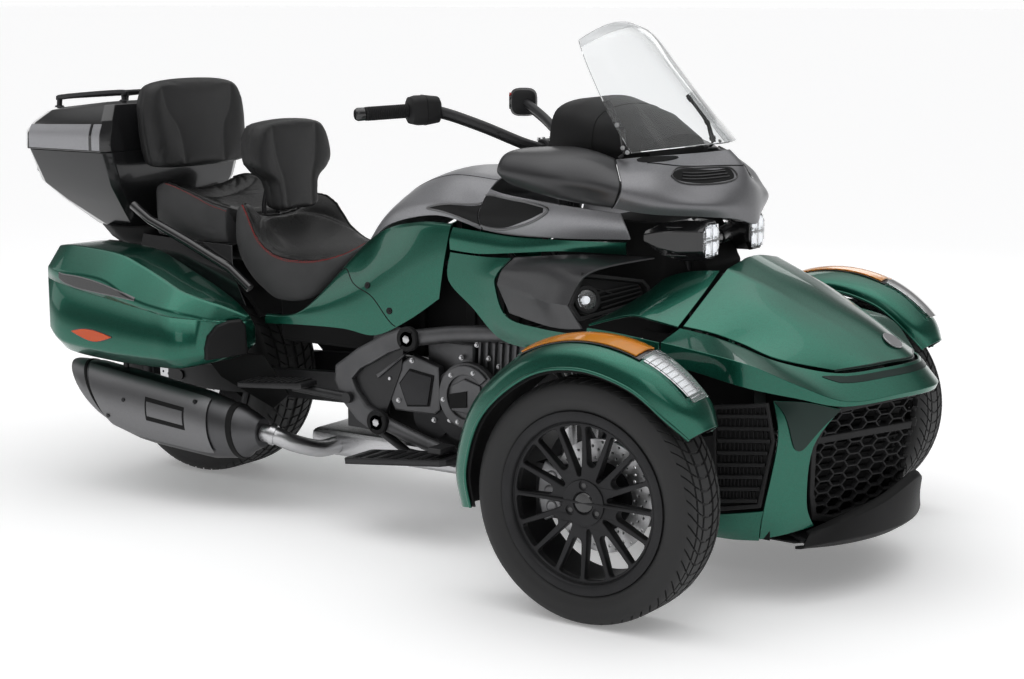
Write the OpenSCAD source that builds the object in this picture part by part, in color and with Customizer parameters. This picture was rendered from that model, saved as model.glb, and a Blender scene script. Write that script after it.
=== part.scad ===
// Three-wheeled touring motorcycle, two wheels in front and one behind.
// Millimetres. X points forward, Y to the left of the vehicle, Z up.
// Every place is counted from the front axle; rx() counts from the rear axle.

/* [Layout] */
// Distance between the front axle and the rear axle
wheelbase = 1709; // [1695:1:1725]
// Distance between the centre planes of the two front wheels
front_track = 1308; // [1300:1:1316]
// From the front axle to the foremost point of the nose
front_overhang = 530; // [526:1:534]
// From the rear axle to the rearmost point of the top case
rear_overhang = 581; // [575:1:590]
// Width of one front fender across its wheel
fender_w = 187; // [180:1:194]

/* [Wheels] */
// Outer diameter of a front tyre
front_tyre_d = 562; // [556:1:568]
// Width of a front tyre
front_tyre_w = 165; // [160:1:170]
// Outer diameter of the rear tyre
rear_tyre_d = 606; // [600:1:612]
// Width of the rear tyre
rear_tyre_w = 225; // [218:1:232]
// Diameter of the seat that the tyre beads sit on
bead_d = 381; // [379:0.5:383]
// Width over the flanges of a front rim
front_rim_w = 150; // [146:1:154]
// Width over the flanges of the rear rim
rear_rim_w = 208; // [204:1:212]
// Height of a rim flange above the bead seat
flange_h = 17; // [15:0.5:19]
// Number of spokes in a front rim, in pairs
front_spokes = 16; // [12:2:20]
// Width of one front spoke
spoke_w = 13; // [11:0.5:15]
// Diameter of a front brake disc
disc_d = 262; // [254:1:268]
// Thickness of a brake disc
disc_t = 6; // [5:0.5:7]
// Radius of the axle stubs
axle_r = 14; // [12:0.5:16]
// Gap around a turning pin
pin_gap = 0.3; // [0.2:0.05:0.4]
// Gap between a tyre and the rim it sits on
bead_gap = 0.5; // [0.3:0.1:0.8]

/* [Steering] */
// How far the kingpin stands inward of the wheel centre plane
kingpin_in = 69; // [66:1:72]
// Radius of the kingpin
kingpin_r = 10; // [9:0.5:11]
// Height of the kingpin eyes above and below the wheel centre
kingpin_h = 95; // [92:1:98]
// Backward lean of the handlebar axis in degrees
bar_lean = 20; // [18:0.5:22]
// Height of the handlebar pivot
bar_z = 1000; // [995:1:1006]
// Distance of the handlebar pivot behind the front axle
bar_back = 530; // [526:1:534]

/* [Panels] */
// Thickness of the body panels
panel_t = 5; // [4:0.5:6]
// Thickness of the windshield
shield_t = 5; // [4:0.5:6]
// Thickness of the walls of the cases and the trunk
case_t = 5; // [4:0.5:6]
// Gap between a lid and the case below it
lid_gap = 0.8; // [0.5:0.1:1]

/* [Frame] */
// Half width of the front cradle that carries the arms
cradle_half = 225; // [220:1:228]
// Radius of the tubes of the suspension arms
arm_r = 13; // [11:0.5:15]
// Radius of the seat rails
rail_r = 14; // [12:0.5:16]

// Distance across between the holes for the number plate
plate_bolt_y = 146; // [140:1:160]
// Distance up between the holes for the number plate
plate_bolt_z = 70; // [60:1:90]
// Radius of the holes for the number plate
plate_hole_r = 3.5; // [3:0.1:4]

/* [Hidden] */
$fn = 48;
green = "#0e5b40";
grey = "#3b3d41";
black = "#141517";
silver = "#b4b8bb";
leather = "#1d1d1f";
clear = "#cfd8dc";
red = "#a01418";
front_axle_x = (front_overhang + wheelbase + rear_overhang) / 2 - front_overhang;
front_r = front_tyre_d / 2;
rear_r = rear_tyre_d / 2;
half_track = front_track / 2;
kingpin_y = half_track - kingpin_in;
bead_r = bead_d / 2;
fender_half = fender_w / 2;
bar_axis = [-sin(bar_lean), 0, cos(bar_lean)];
bar_pivot = [-bar_back, 0, bar_z];
guard_r = 34.5;
case_lean = 8.6;

// A place counted forward from the rear axle
function rx(d) = d - wheelbase;
// The same place on the other side
function flip(p) = [p[0], -p[1], p[2]];
function sum(v) = [for (i = v) 1] * v;
function flat(m) = [for (row = m) each row];
function turned(m) = [for (j = [0:len(m[0]) - 1]) [for (i = [0:len(m) - 1]) m[i][j]]];
function back(v) = [for (i = [len(v) - 1:-1:0]) v[i]];
// A row that runs from the right edge to the middle, carried on to the left edge
function both(row) = concat(row, [for (i = [len(row) - 2:-1:0]) flip(row[i])]);
function both_rows(rows) = [for (row = rows) both(row)];
// A smooth curve through four neighbouring points
function curve(a, b, c, d, t) =
    b + 0.5 * t * ((c - a) + t * ((2 * a - 5 * b + 4 * c - d) + t * (3 * (b - c) + d - a)));
function smooth(p, steps) = steps < 2 ? p : [
    for (i = [0:len(p) - 2], k = [0:steps - 1])
        curve(p[max(i - 1, 0)], p[i], p[i + 1], p[min(i + 2, len(p) - 1)], k / steps),
    p[len(p) - 1]];
// A closed smooth curve
function loop(p, steps) = let (n = len(p)) [
    for (i = [0:n - 1], k = [0:steps - 1])
        curve(p[(i + n - 1) % n], p[i], p[(i + 1) % n], p[(i + 2) % n], k / steps)];
// A coarse net of points made finer along both ways
function fine(net, su, sv) =
    turned([for (c = turned([for (row = net) smooth(row, sv)])) smooth(c, su)]);
function facing(g, i, j) = let (
    du = g[min(i + 1, len(g) - 1)][j] - g[max(i - 1, 0)][j],
    dv = g[i][min(j + 1, len(g[0]) - 1)] - g[i][max(j - 1, 0)],
    c = cross(dv, du)) c / norm(c);

// A solid whose faces are turned outward whichever way they were listed
module closed(points, faces) {
    v = sum([for (f = faces) cross(points[f[0]], points[f[1]]) * points[f[2]]]);
    polyhedron(points, v > 0 ? [for (f = faces) back(f)] : faces, convexity = 6);
}

// A curved sheet of even thickness below a net of points
module panel(g, t) {
    m = len(g);
    n = len(g[0]);
    c = m * n;
    under = [for (i = [0:m - 1]) [for (j = [0:n - 1]) g[i][j] - t * facing(g, i, j)]];
    tops = [for (i = [0:m - 2], j = [0:n - 2]) let (a = i * n + j, b = a + n)
        each [[a, a + 1, b + 1], [a, b + 1, b]]];
    lows = [for (f = tops) [f[0] + c, f[2] + c, f[1] + c]];
    first = [for (a = [0:n - 2]) each [[a + 1, a, c + a], [a + 1, c + a, c + a + 1]]];
    last = [for (b = [c - n:c - 2]) each [[b, b + 1, c + b + 1], [b, c + b + 1, c + b]]];
    right = [for (i = [0:m - 2]) let (a = i * n, b = a + n)
        each [[a, b, c + b], [a, c + b, c + a]]];
    left = [for (i = [0:m - 2]) let (a = i * n + n - 1, b = a + n)
        each [[b, a, c + a], [b, c + a, c + b]]];
    closed(concat(flat(g), flat(under)), concat(tops, lows, first, last, right, left));
}

// A solid through a row of rings that all have the same number of points
module loft(rings) {
    m = len(rings);
    n = len(rings[0]);
    ends = [sum(rings[0]) / n, sum(rings[m - 1]) / n];
    sides = [for (i = [0:m - 2], j = [0:n - 1]) let (a = i * n + j, b = i * n + (j + 1) % n)
        each [[a, a + n, b + n], [a, b + n, b]]];
    start = [for (j = [0:n - 1]) [j, (j + 1) % n, m * n]];
    stop = [for (j = [0:n - 1]) [(m - 1) * n + (j + 1) % n, (m - 1) * n + j, m * n + 1]];
    closed(concat(flat(rings), ends), concat(sides, start, stop));
}

// A round bar between two points
module rod(a, b, r) {
    d = b - a;
    translate(a) rotate([0, acos(d[2] / norm(d)), atan2(d[1], d[0])]) cylinder(r = r, h = norm(d));
}

// A ring of points around a place on a path
function pipe_ring(p, d, r, ref) = let (u = cross(d, ref) / norm(cross(d, ref)), w = cross(u,
    d) / norm(d))
    [for (a = [0:30:330]) p + r * (cos(a) * u + sin(a) * w)];

// A bent tube along a row of points; ref is a direction that no stretch follows
module tube(p, r, ref = [0, 1, 0]) {
    n = len(p) - 1;
    loft([for (i = [0:n]) pipe_ring(p[i], p[min(i + 1, n)] - p[max(i - 1, 0)], r, ref)]);
}

// A flat plate drawn along two directions from a corner
module plate_at(o, u, v, t, deep = 0) {
    a = u / norm(u);
    w = cross(a, v) / norm(cross(a, v));
    b = cross(w, a);
    multmatrix([[a[0], b[0], w[0], o[0]], [a[1], b[1], w[1], o[1]], [a[2], b[2], w[2], o[2]],
        [0, 0, 0, 1]]) translate([0, 0, -deep]) linear_extrude(t) children();
}

// A round bar along Y from one side distance to another
module cross_bar(x, z, y0, y1, r) {
    translate([x, y0, z]) rotate([-90, 0, 0]) cylinder(r = r, h = y1 - y0);
}

module box(x0, x1, y0, y1, z0, z1) {
    translate([x0, y0, z0]) cube([x1 - x0, y1 - y0, z1 - z0]);
}

module pair() {
    children();
    mirror([0, 1, 0]) children();
}

// A ring with rounded corners at one height, from a middle and two half widths
function round_rect(x0, x1, y0, y1, z0, z1, r) = [
    for (k = [0:3], a = [0, 45, 90]) let (
        t = k * 90 + a,
        cx = (k == 0 || k == 3) ? x1 - r : x0 + r,
        cy = k < 2 ? y1 - r : y0 + r,
        x = cx + r * cos(t))
        [x, cy + r * sin(t), z0 + (z1 - z0) * (x - x0) / (x1 - x0)]];

// Frame, engine and running gear

module frame() {
    color(black) {
        difference() {
            union() {
                box(-140, 140, -cradle_half, cradle_half, 165, 190);
                box(-140, 140, -cradle_half, cradle_half, 392, 415);
                for (s = [-1, 1]) translate([0, s * (cradle_half - 10), 0])
                    box(-139, 139, -10, 10, 170, 410);
                for (s = [-1, 1]) translate([0, s * (cradle_half - 21), 0])
                    box(-40, 40, -20, 20, 400, 575);
                box(-135, -40, -55, 55, 400, 615);
                box(-1040, -60, -50, 50, 548, 620);
                rod([-392, 0, 590], bar_pivot - 55 * bar_axis, 26);
                cross_bar(-890, 500, -240, 240, 22);
                cross_bar(-960, 266, -246, 246, 13);
                for (s = [-1, 1]) translate([0, s * 236, 0]) rotate([90, 0, 0])
                    translate([0, 0, -8]) linear_extrude(16)
                        polygon([[-835, 530], [-850, 420], [-925, 245], [-1030, 247],
                            [-1030, 372], [-960, 440], [-925, 540]]);
                cross_bar(-989, 330, -246, 246, 16);
                box(-925, -865, -48, 48, 500, 560);
            }
            rod(bar_pivot - 130 * bar_axis, bar_pivot, axle_r + pin_gap);
        }
        pair() tube([[-140.5, 35 - cradle_half, 178], [-440, -212, 170], [-850, -215.5, 190], [-936, -215.5,
            236]], 12);
    }
}

// Rails that carry the seats, the cases and the plate holder
module seat_rails() {
    color(black) {
        pair() tube([[-962, -64.6, 594], [-1040, -65, 596], [rx(330), -85, 609], [rx(212), -98, 659],
            [rx(-300), -135, 662]], rail_r);
        cross_bar(rx(0), 2 * rear_r + guard_r + pin_gap + 10, -98.4, 98.4, 10);
        cross_bar(rx(-240), 661, -116, 116, 10);
        cross_bar(rx(216), 657, -83, 83, 10);
    }
}

// A bracket that reaches from one piece to the underside of another
module stay(a, b, r, t = 5) {
    rod(a, b - (t - 5) * (b - a) / norm(b - a), r);
}

// Small brackets between the frame and the pieces it carries
module stays() {
    color(black) {
        pair() {
            stay([140.4, -60, 402], [156.4, -60, 402], 10);
            stay([32.6, -227, 565.2], [57.9, -344.3, 615.9], 6, panel_t);
            stay([143.5, -208.3, 401], [329.8, -322.6, 386.6], 6, panel_t);
            stay([134, -cradle_half - 2.3, 178.3], [181.8, -374.8, 181.5], 6, panel_t);
            stay([-31.8, -cradle_half - 0.8, 561.8], [-65, -420.4, 595], 6, panel_t);
            stay([0, -212, 576.1], [0, -227.1, 697.1], 6, panel_t);
            stay([344.4, -90, 418.4], [433.1, -90, 402.9], 6);
            stay([142.8, -210.3, 172.4], [347.6, -294.9, 147.5], 6, panel_t);
            stay([136.1, -cradle_half - 2.5, 301.8], [211, -381.1, 324.3], 6);
            stay([-78.4, -52.7, 619.9], [-63.7, -122.6, 756.2], 8);
            stay([-33.9, -156.5, 861.2], [-8.7, -162.8, 881.7], 5, panel_t);
            stay([-420.2, -25.9, 723.2], [-330.6, -262.1, 935], 7, panel_t);
            stay([-117.9, -58.5, 592.5], [-301.4, -371.3, 650.9], 6, panel_t);
            stay([-110.9, -57.8, 585.4], [-122.5, -223.7, 655.3], 6, panel_t);
            stay([-850, -51.7, 587.6], [-850, -245.4, 630.2], 6, panel_t);
            stay([-500, -54.1, 601], [-500, -258.8, 760.6], 6, panel_t);
            stay([-420.7, -50.8, 579.7], [-437, -311.9, 573.2], 6, panel_t);
            stay([-800, -31.7, 621], [-800, -57.2, 926.8], 7, panel_t);
            stay([-400, -54.6, 614], [-400, -251.4, 803.3], 6, panel_t);
            stay([rx(529), -72, 616.1], [rx(529), -72, 632.4], 9);
            stay([rx(90), -107, 674.1], [rx(90), -107, 690], 9);
            stay([rx(-139.7), -90, 935], [rx(-121), -90, 935], 9);
            stay([rx(-250), -131, 676.2], [rx(-250), -131, 739.6], 10);
            stay([rx(-190), -127, 675.8], [rx(-190), -127, 739.6], 10);
            stay([rx(120), -118.6, 664.4], [rx(120), -225.7, 701.5], 8);
            stay([rx(-100), -130.3, 650.1], [rx(-100), -217.1, 548.7], 9);
            stay([-600, -30, 547.6], [-600, -30, 531.2], 12);
            stay([rx(0), -385, 359.1], [rx(0), -385, 385.5], 8);
            stay([-197.3, -235.9, 1005], [-188.1, -231.1, 1012.8], 4);
            stay([rx(330), -85, 627.8], [rx(330), -85, 636.7], 9);
            cross_bar(45, 728, -148.6, -134, 5.7);
            rod([20, -206, 577.5], [44, -145, 724], 5.5);
        }
        stay([-451.1, 0, 863], [-360, 0, 973.6], 7);
    }
}

module engine() {
    color(silver) {
        difference() {
            union() {
                box(-820, -475, -200, 200, 200, 400);
                translate([-560, 0, 390]) rotate([0, 12, 0]) box(-75, 95, -190, 190, 0, 128);
                cross_bar(-660, 345, -232, 232, 98);
                cross_bar(-540, 300, -222, 222, 62);
                cross_bar(-770, 300, -218, 218, 60);
                cross_bar(-660, 345, -240, 240, 60);
                box(-912, -810, 66, 108, 308, 382);
                cross_bar(-900, 345, 100, 133, 44.2);
            }
            for (k = [0:4]) translate([-560, 0, 390]) rotate([0, 12, 0])
                box(-80, -66, -185, 185, 30 + k * 20, 38 + k * 20);
        }
    }
}

// One arm with two legs and an eye for the kingpin
module arm(spread, zin, zeye) {
    difference() {
        union() {
            for (s = [-1, 1])
                rod([s * spread, -cradle_half - pin_gap, zin], [0, -kingpin_y, zeye], arm_r);
            translate([0, -kingpin_y, zeye - 13]) cylinder(r = kingpin_r + 14, h = 26);
        }
        translate([0, -kingpin_y, zeye - 60]) cylinder(r = kingpin_r + pin_gap, h = 120);
        box(-200, 200, -cradle_half - pin_gap, 0, 0, 600);
    }
}

module suspension_arms() {
    color(black) pair() {
        arm(118, 205, front_r - kingpin_h);
        arm(100, 376, front_r + kingpin_h);
    }
}

module front_shocks() {
    color(grey) pair() {
        low = [0, -446, 218];
        top = [0, -268, 548];
        d = (top - low) / norm(top - low);
        rod(low, top, 12);
        rod(low + 40 * d, low + 150 * d, 26);
        for (k = [0:7]) rod(low + (150 + 24 * k) * d, low + (162 + 24 * k) * d, 36);
        rod(low + 150 * d, low + 330 * d, 24);
        rod([-24, -446, 218], [24, -446, 218], 17);
        rod([0, -268, 548], [0, -cradle_half + 1 - pin_gap, 548], 16);
    }
}

module swingarm() {
    color(black) difference() {
        union() {
            for (s = [-1, 1]) translate([0, s * 152, 0]) rotate([90, 0, 0])
                translate([0, 0, -14]) linear_extrude(28)
                    polygon([[-960, 360], [-960, 300], [-1100, 288], [rx(0), rear_r - 34],
                        [rx(-48), rear_r - 26], [rx(-48), rear_r + 26], [rx(0), rear_r + 34],
                        [-1100, 372]]);
            box(-1090, -1020, -160, 160, 296, 364);
            cross_bar(rx(0), rear_r, -172, 172, axle_r);
        }
        cross_bar(-989, 330, -300, 300, 16 + pin_gap);
    }
}

module rear_fender() {
    color(black) translate([rx(0), 0, rear_r]) rotate([-90, 0, 0]) rotate([0, 0, 190])
        rotate_extrude(angle = 135)
            polygon([[rear_r + 23, -121], [rear_r + guard_r, -121], [rear_r + guard_r, 121],
                [rear_r + 23, 121]]);
}

// Toothed belt from the gearbox to the rear wheel, on the left
module drive_belt() {
    color(black) translate([0, 132, 0]) rotate([90, 0, 0]) linear_extrude(13) difference() {
        hull() {
            translate([-900, 345]) circle(r = 52);
            translate([rx(0), rear_r]) circle(r = 104);
        }
        hull() {
            translate([-900, 345]) circle(r = 45);
            translate([rx(0), rear_r]) circle(r = 97);
        }
    }
}

// Wheels

// The half section of a tyre as radius and side distance
function tyre_half(r, w, rim_w) = let (b = bead_r + bead_gap, f = bead_r + flange_h + 3,
    h = rim_w / 2 - 7 - bead_gap, m = f + (r - f) * 0.42) concat(
    [[b, h], [f - 2, h]],
    [for (k = [0:3]) [f + (m - f) * k / 4, h + 3 + (w / 2 - h - 3) * sin(k * 22.5)]],
    [for (k = [0:6]) let (a = k * 14) [m + (r - m) * pow(sin(a), 0.75), w / 2 * pow(cos(a), 0.36)]]);

module tyre(r, w, rim_w) {
    half = tyre_half(r, w, rim_w);
    rotate([-90, 0, 0]) rotate_extrude($fn = 96)
        polygon(concat(half, [[r, 0]], [for (p = back(half)) [p[0], -p[1]]]));
}

// The outer ring of a rim as a turned section
module rim_ring(w) {
    h = w / 2;
    rotate([-90, 0, 0]) rotate_extrude($fn = 96)
        polygon([[bead_r, -h + 7], [bead_r + flange_h, -h + 7], [bead_r + flange_h + 2, -h + 3],
            [bead_r + flange_h, -h], [bead_r - 6, -h], [bead_r - 12, -h + 9], [bead_r - 12, h - 9],
            [bead_r - 6, h], [bead_r + flange_h, h], [bead_r + flange_h + 2, h - 3],
            [bead_r + flange_h, h - 7], [bead_r, h - 7]]);
}

// One opening between two spokes that stand a given angle apart
module window(r0, r1, gap, y0, y1) {
    a = gap / 2;
    b0 = a - asin(spoke_w / 2 / r0);
    b1 = a - asin(spoke_w / 2 / r1);
    rotate([-90, 0, 0]) translate([0, 0, y0]) linear_extrude(y1 - y0)
        polygon([[r0 * cos(b0), r0 * sin(b0)], [(r0 - 8) * cos(b0 / 2), (r0 - 8) * sin(b0 / 2)],
            [(r0 - 8) * cos(b0 / 2), -(r0 - 8) * sin(b0 / 2)], [r0 * cos(b0), -r0 * sin(b0)],
            [r1 * cos(b1), -r1 * sin(b1)], [r1 + 2, 0], [r1 * cos(b1), r1 * sin(b1)]]);
}

// Front rim with its brake disc, the outer side toward -Y
module front_rim() {
    pitch = 360 / front_spokes;
    difference() {
        union() {
            rim_ring(front_rim_w);
            cross_bar(0, 0, -58, -30, bead_r - 10);
            cross_bar(0, 0, -62, 52, 46);
            cross_bar(0, 0, 14, 22, 78);
            cross_bar(0, 0, 17, 17 + disc_t, disc_d / 2);
        }
        for (k = [0:front_spokes / 2 - 1]) rotate([0, (2 * k + 0.5) * pitch, 0])
            window(64, bead_r - 16, pitch, -70, -20);
        for (k = [0:front_spokes / 2 - 1]) rotate([0, (2 * k + 1.5) * pitch, 0])
            window(98, bead_r - 16, pitch, -70, -20);
        cross_bar(0, 0, -46, 60, axle_r + pin_gap);
        for (k = [0:11]) rotate([0, k * 30, 0]) cross_bar(104, 0, 10, 30, 7);
    }
}

module rear_rim() {
    color(grey) translate([rx(0), 0, rear_r]) difference() {
        union() {
            rim_ring(rear_rim_w);
            cross_bar(0, 0, -34, 0, bead_r - 10);
            cross_bar(0, 0, -128, 131, 44);
            cross_bar(0, 0, -124, -118, 120);
            cross_bar(0, 0, 100, 132.5, 94);
        }
        for (k = [0:6]) rotate([0, k * 360 / 7, 0])
            rotate([-90, 0, 0]) translate([0, 0, -80]) linear_extrude(160)
                polygon([[70, -18], [168, -58], [174, 0], [168, 58], [70, 18]]);
        cross_bar(0, 0, -200, 200, axle_r + pin_gap);
    }
}

module rear_tyre() {
    color(black) translate([rx(0), 0, rear_r]) tyre(rear_r, rear_tyre_w, rear_rim_w);
}

module right_wheel() {
    translate([0, -half_track, front_r]) children();
}

module left_wheel() {
    mirror([0, 1, 0]) right_wheel() children();
}

// Knuckle with the kingpins, the axle stub and the brake caliper
module knuckle() {
    color(black) {
        cross_bar(0, 0, 56, 92, 50);
        box(-26, 26, kingpin_in - 15, kingpin_in + 21, -kingpin_h + 15, kingpin_h - 15);
        translate([0, kingpin_in, kingpin_h - 16]) cylinder(r = kingpin_r, h = 32);
        translate([0, kingpin_in, -kingpin_h - 16]) cylinder(r = kingpin_r, h = 32);
        cross_bar(0, 0, -44, 58, axle_r);
        box(-150, -20, 58, 70, -30, 30);
        for (s = [-1, 1]) tube([[s * 20, 84, 40], [s * 120, fender_half + 6.5, 180],
            [s * (front_r + 33.93) * cos(57.03), fender_half + 6.5, (front_r + 33.93) * sin(57.03)]], 9);
    }
    color(silver) difference() {
        box(-158, -88, -8, 57.5, -62, 62);
        cross_bar(0, 0, 11, 17 + disc_t + 6, disc_d / 2 + 5);
        cross_bar(0, 0, -20, 80, 84);
    }
}

// One row across the fender at an angle behind the front, from the inner to the outer edge
function fender_row(a, up, slim) = let (w = fender_half) [
    for (p = [[w * 1.02, 40 - up], [w * 0.92, 62], [w * 0.5, 80], [0, 88], [-w * 0.55, 78],
        [-w * 0.86, 58], [-w, 26 - up]])
        let (y = p[0] * slim + 8 * (1 - slim), r = front_r + 28 + (p[1] - 28) * (0.4 + 0.6 * slim))
        [r * cos(a), y, r * sin(a)]];
function fender_net() = [fender_row(190, 0, 0.72), fender_row(172, 0, 0.9), fender_row(145, 0, 1),
    fender_row(115, 0, 1), fender_row(90, 0, 1), fender_row(65, 0, 1), fender_row(45, 4, 0.84),
    fender_row(34, 6, 0.5)];

module front_fender() {
    color(green) panel(fine(fender_net(), 2, 1), panel_t);
}

// One row across a lamp that lies on the fender
function lamp_row(a) = [for (p = [[0.2995, 84.5], [-0.0642, 88], [-0.5348, 79.5]])
    let (r = front_r + p[1] + 6.5) [r * cos(a), p[0] * fender_half, r * sin(a)]];

module fender_lamp() {
    color("#d9861a") panel([for (a = [118:-8:70]) lamp_row(a)], 5);
    color(clear) panel([for (a = [69:-6:51]) lamp_row(a)], 5);
}

module knuckle_right() {
    right_wheel() knuckle();
}

module knuckle_left() {
    left_wheel() knuckle();
}

module front_fender_right() {
    right_wheel() front_fender();
}

module front_fender_left() {
    left_wheel() front_fender();
}

module fender_lamp_right() {
    right_wheel() fender_lamp();
}

module fender_lamp_left() {
    left_wheel() fender_lamp();
}

module front_rim_right() {
    color(grey) right_wheel() front_rim();
}

module front_rim_left() {
    color(grey) left_wheel() front_rim();
}

module front_tyre_right() {
    color(black) right_wheel() tyre(front_r, front_tyre_w, front_rim_w);
}

module front_tyre_left() {
    color(black) left_wheel() tyre(front_r, front_tyre_w, front_rim_w);
}

// Nose

// The line where the hood meets the body, from the right rear to the middle
hood_line = [[40, -352, 628], [105, -330, 614], [172, -305, 592], [262, -290, 562], [372, -206, 533],
    [446, -105, 538], [480, 0, 542]];

module nose_body() {
    color(green) {
        shelf = [
            [for (p = hood_line) p],
            [[30, -424, 604], [130, -416, 590], [247, -400, 568], [335, -330, 520], [414, -230, 474],
                [493, -112, 482], [front_overhang, 0, 487]],
            [[30, -428, 560], [130, -420, 540], [245, -404, 515], [332, -334, 490], [406, -236, 462],
                [486, -114, 470], [front_overhang - 6, 0, 474]]];
        panel(fine(both_rows(shelf), 1, 2), -panel_t);
        pair() {
            panel(fine([
                [[401, -240, 457], [345, -305, 478], [292, -366, 486]],
                [[356, -286, 370], [332, -330, 385], [308, -372, 396]],
                [[345, -290, 240], [312, -335, 235], [277, -374, 230]],
                [[352, -262, 178], [312, -318, 166], [257, -352, 152]]], 2, 2), panel_t);
            panel(fine([
                [[276, -375, 227], [210, -390, 216], [150, -398, 206]],
                [[262, -362, 180], [200, -376, 172], [148, -384, 168]],
                [[254, -350, 148], [196, -356, 143], [146, -360, 143]]], 2, 2), panel_t);
            panel(fine([
                [[36, -150, 740], [36, -225, 696], [34, -350, 630]],
                [[-30, -178, 736], [-28, -262, 696], [-22, -372, 645]],
                [[-80, -208, 720], [-78, -298, 682], [-74, -392, 654]],
                [[-98, -224, 698], [-140, -318, 656], [-178, -404, 624]]], 2, 2), -panel_t);
            panel(fine([
                [[26, -426, 603], [-80, -424, 614], [-176, -414, 618]],
                [[26, -430, 560], [-80, -430, 570], [-180, -418, 582]]], 1, 2), panel_t);
        }
    }
}

module hood() {
    color(green) panel(fine(both_rows([
        [[364, -200, 538], [418, -132, 546], [446, -68, 549], [470, 0, 550]],
        [[260, -284, 567], [322, -170, 592], [348, -86, 609], [370, 0, 614]],
        [[172, -298, 597], [226, -190, 640], [243, -104, 660], [262, 0, 667]],
        [[108, -322, 619], [146, -204, 675], [158, -118, 702], [170, 0, 711]],
        [[44, -344, 632], [48, -216, 702], [50, -136, 744], [52, 0, 762]]]), 3, 2), panel_t);
}

module trunk_tub() {
    color(black) {
        loft([round_rect(158, 338, -150, 150, 330, 330, 30),
            round_rect(154, 350, -168, 168, 608, 530, 34),
            round_rect(154 + case_t, 350 - case_t, -168 + case_t, 168 - case_t, 608, 530, 30),
            round_rect(158 + case_t, 338 - case_t, -150 + case_t, 150 - case_t, 330 + case_t,
                330 + case_t, 26)]);
    }
}

// The grille half in its own plane, across from the middle and up from the foot
grille_top = [505, -6, 474];
grille_foot = [462, -6, 232];
grille_out = [-0.46, -0.888, 0];

module grille_half() {
    u = grille_out;
    v = grille_top - grille_foot;
    outline = [[0, 0], [40, -34], [200, -64], [262, -50], [280, 20], [292, 140], [252, 226], [0, 246]];
    inner = [[0, 14], [44, -18], [198, -48], [250, -36], [266, 22], [277, 136], [244, 212], [0, 231]];
    plate_at(grille_foot, u, v, 16) difference() {
        polygon(outline);
        polygon(inner);
    }
    plate_at(grille_foot - [6, 0, 0], u, v, 8) difference() {
        polygon(inner);
        for (i = [0:9], j = [0:9]) translate([14 + i * 26 + (j % 2) * 13, -40 + j * 26])
            circle(r = 12.6, $fn = 6);
    }
    plate_at(grille_foot + [6, 0, 0], u, v, 14) polygon([[0, 150], [0, 168], [286, 158], [290, 140]]);
}

module front_grille() {
    color(black) pair() grille_half();
}

module front_lip() {
    color(black) panel(fine(both_rows([
        [[326, -310, 138], [384, -222, 134], [425, -110, 132], [440, 0, 132]],
        [[348, -314, 142], [412, -214, 148], [452, -108, 150], [470, 0, 152]],
        [[350, -284, 158], [404, -206, 186], [456, -104, 220], [492, 0, 264]],
        [[338, -274, 161], [392, -200, 192], [444, -100, 226], [480, 0, 270]]]), 1, 2), -8);
}

module side_grilles() {
    color(black) pair() {
        o = [300, -378, 236];
        u = [-145, -26, 0];
        v = [10, 0, 100];
        plate_at(o, u, v, 12) difference() {
            polygon([[28, 0], [138, -20], [146, 230], [15, 246], [-2, 160]]);
            for (k = [0:9]) translate([34, 6 + k * 22]) square([96, 12]);
        }
    }
}

// Upper cowl, lamps and windshield

module upper_cowl() {
    color(grey) {
        ribs = [
            [[-163, -318, 893], [-142, -327, 920], [-140, -318, 948], [-172, -280, 982], [-205, -236,
                1002]],
            [[-90, -270, 878], [-72, -276, 905], [-80, -262, 942], [-118, -222, 984], [-152, -190, 1008]],
            [[-9, -170, 868], [4, -172, 898], [-36, -166, 932], [-72, -140, 977], [-110, -122, 1010]],
            [[34, -70, 856], [38, -72, 890], [20, -68, 932], [-24, -62, 977], [-60, -56, 1014]],
            [[56, 0, 839], [51, 0, 884], [38, 0, 932], [18, 0, 980], [-22, 0, 1019]]];
        panel(fine(turned(both_rows(turned(ribs))), 2, 2), -panel_t);
        pair() loft([for (r = turned([for (line = turned([
            [[-167, -312, 893], [-148, -321, 920], [-146, -312, 948], [-178, -275, 984], [-211, -233,
                1004],
                [-226, -228, 960], [-205, -268, 912]],
            [[-230, -324, 898], [-228, -350, 924], [-224, -364, 960], [-236, -322, 1004], [-256,
                -244, 1020],
                [-260, -232, 966], [-246, -270, 914]],
            [[-318, -330, 910], [-316, -374, 930], [-312, -395, 966], [-316, -352, 1012], [-326,
                -252, 1029],
                [-330, -238, 975], [-322, -272, 925]],
            [[-436, -322, 934], [-440, -354, 946], [-442, -384, 972], [-444, -348, 1012], [-446,
                -262, 1020],
                [-446, -250, 985], [-440, -276, 950]],
            [[-450, -322, 944], [-453, -346, 954], [-455, -368, 974], [-456, -342, 1002], [-458,
                -276, 1008],
                [-458, -266, 984], [-452, -286, 956]]])) smooth(line, 2)])) loop(r, 2)]);
    }
}

// One ring of a headlight pod, wide and high around a middle
function pod_ring(x, y, z, w, h) = [for (p = [[-1, -0.5], [-0.5, -1], [0.5, -1], [1, -0.5], [1, 0.5],
    [0.5, 1],
    [-0.5, 1], [-1, 0.5]]) [x, y + p[0] * w, z + p[1] * h]];

module headlights() {
    color(black) pair() {
        loft([pod_ring(-12, -126, 808, 44, 48), pod_ring(-56, -142, 808, 60, 50),
            pod_ring(-92, -176, 812, 46, 40), pod_ring(-130, -212, 816, 18, 16)]);
        rod([-52, -84, 808], [-52, -6, 800], 22);
    }
    color(clear) pair() loft([pod_ring(-11.5, -126, 808, 38, 42), pod_ring(4, -122, 807, 30, 36)]);
}

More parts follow.
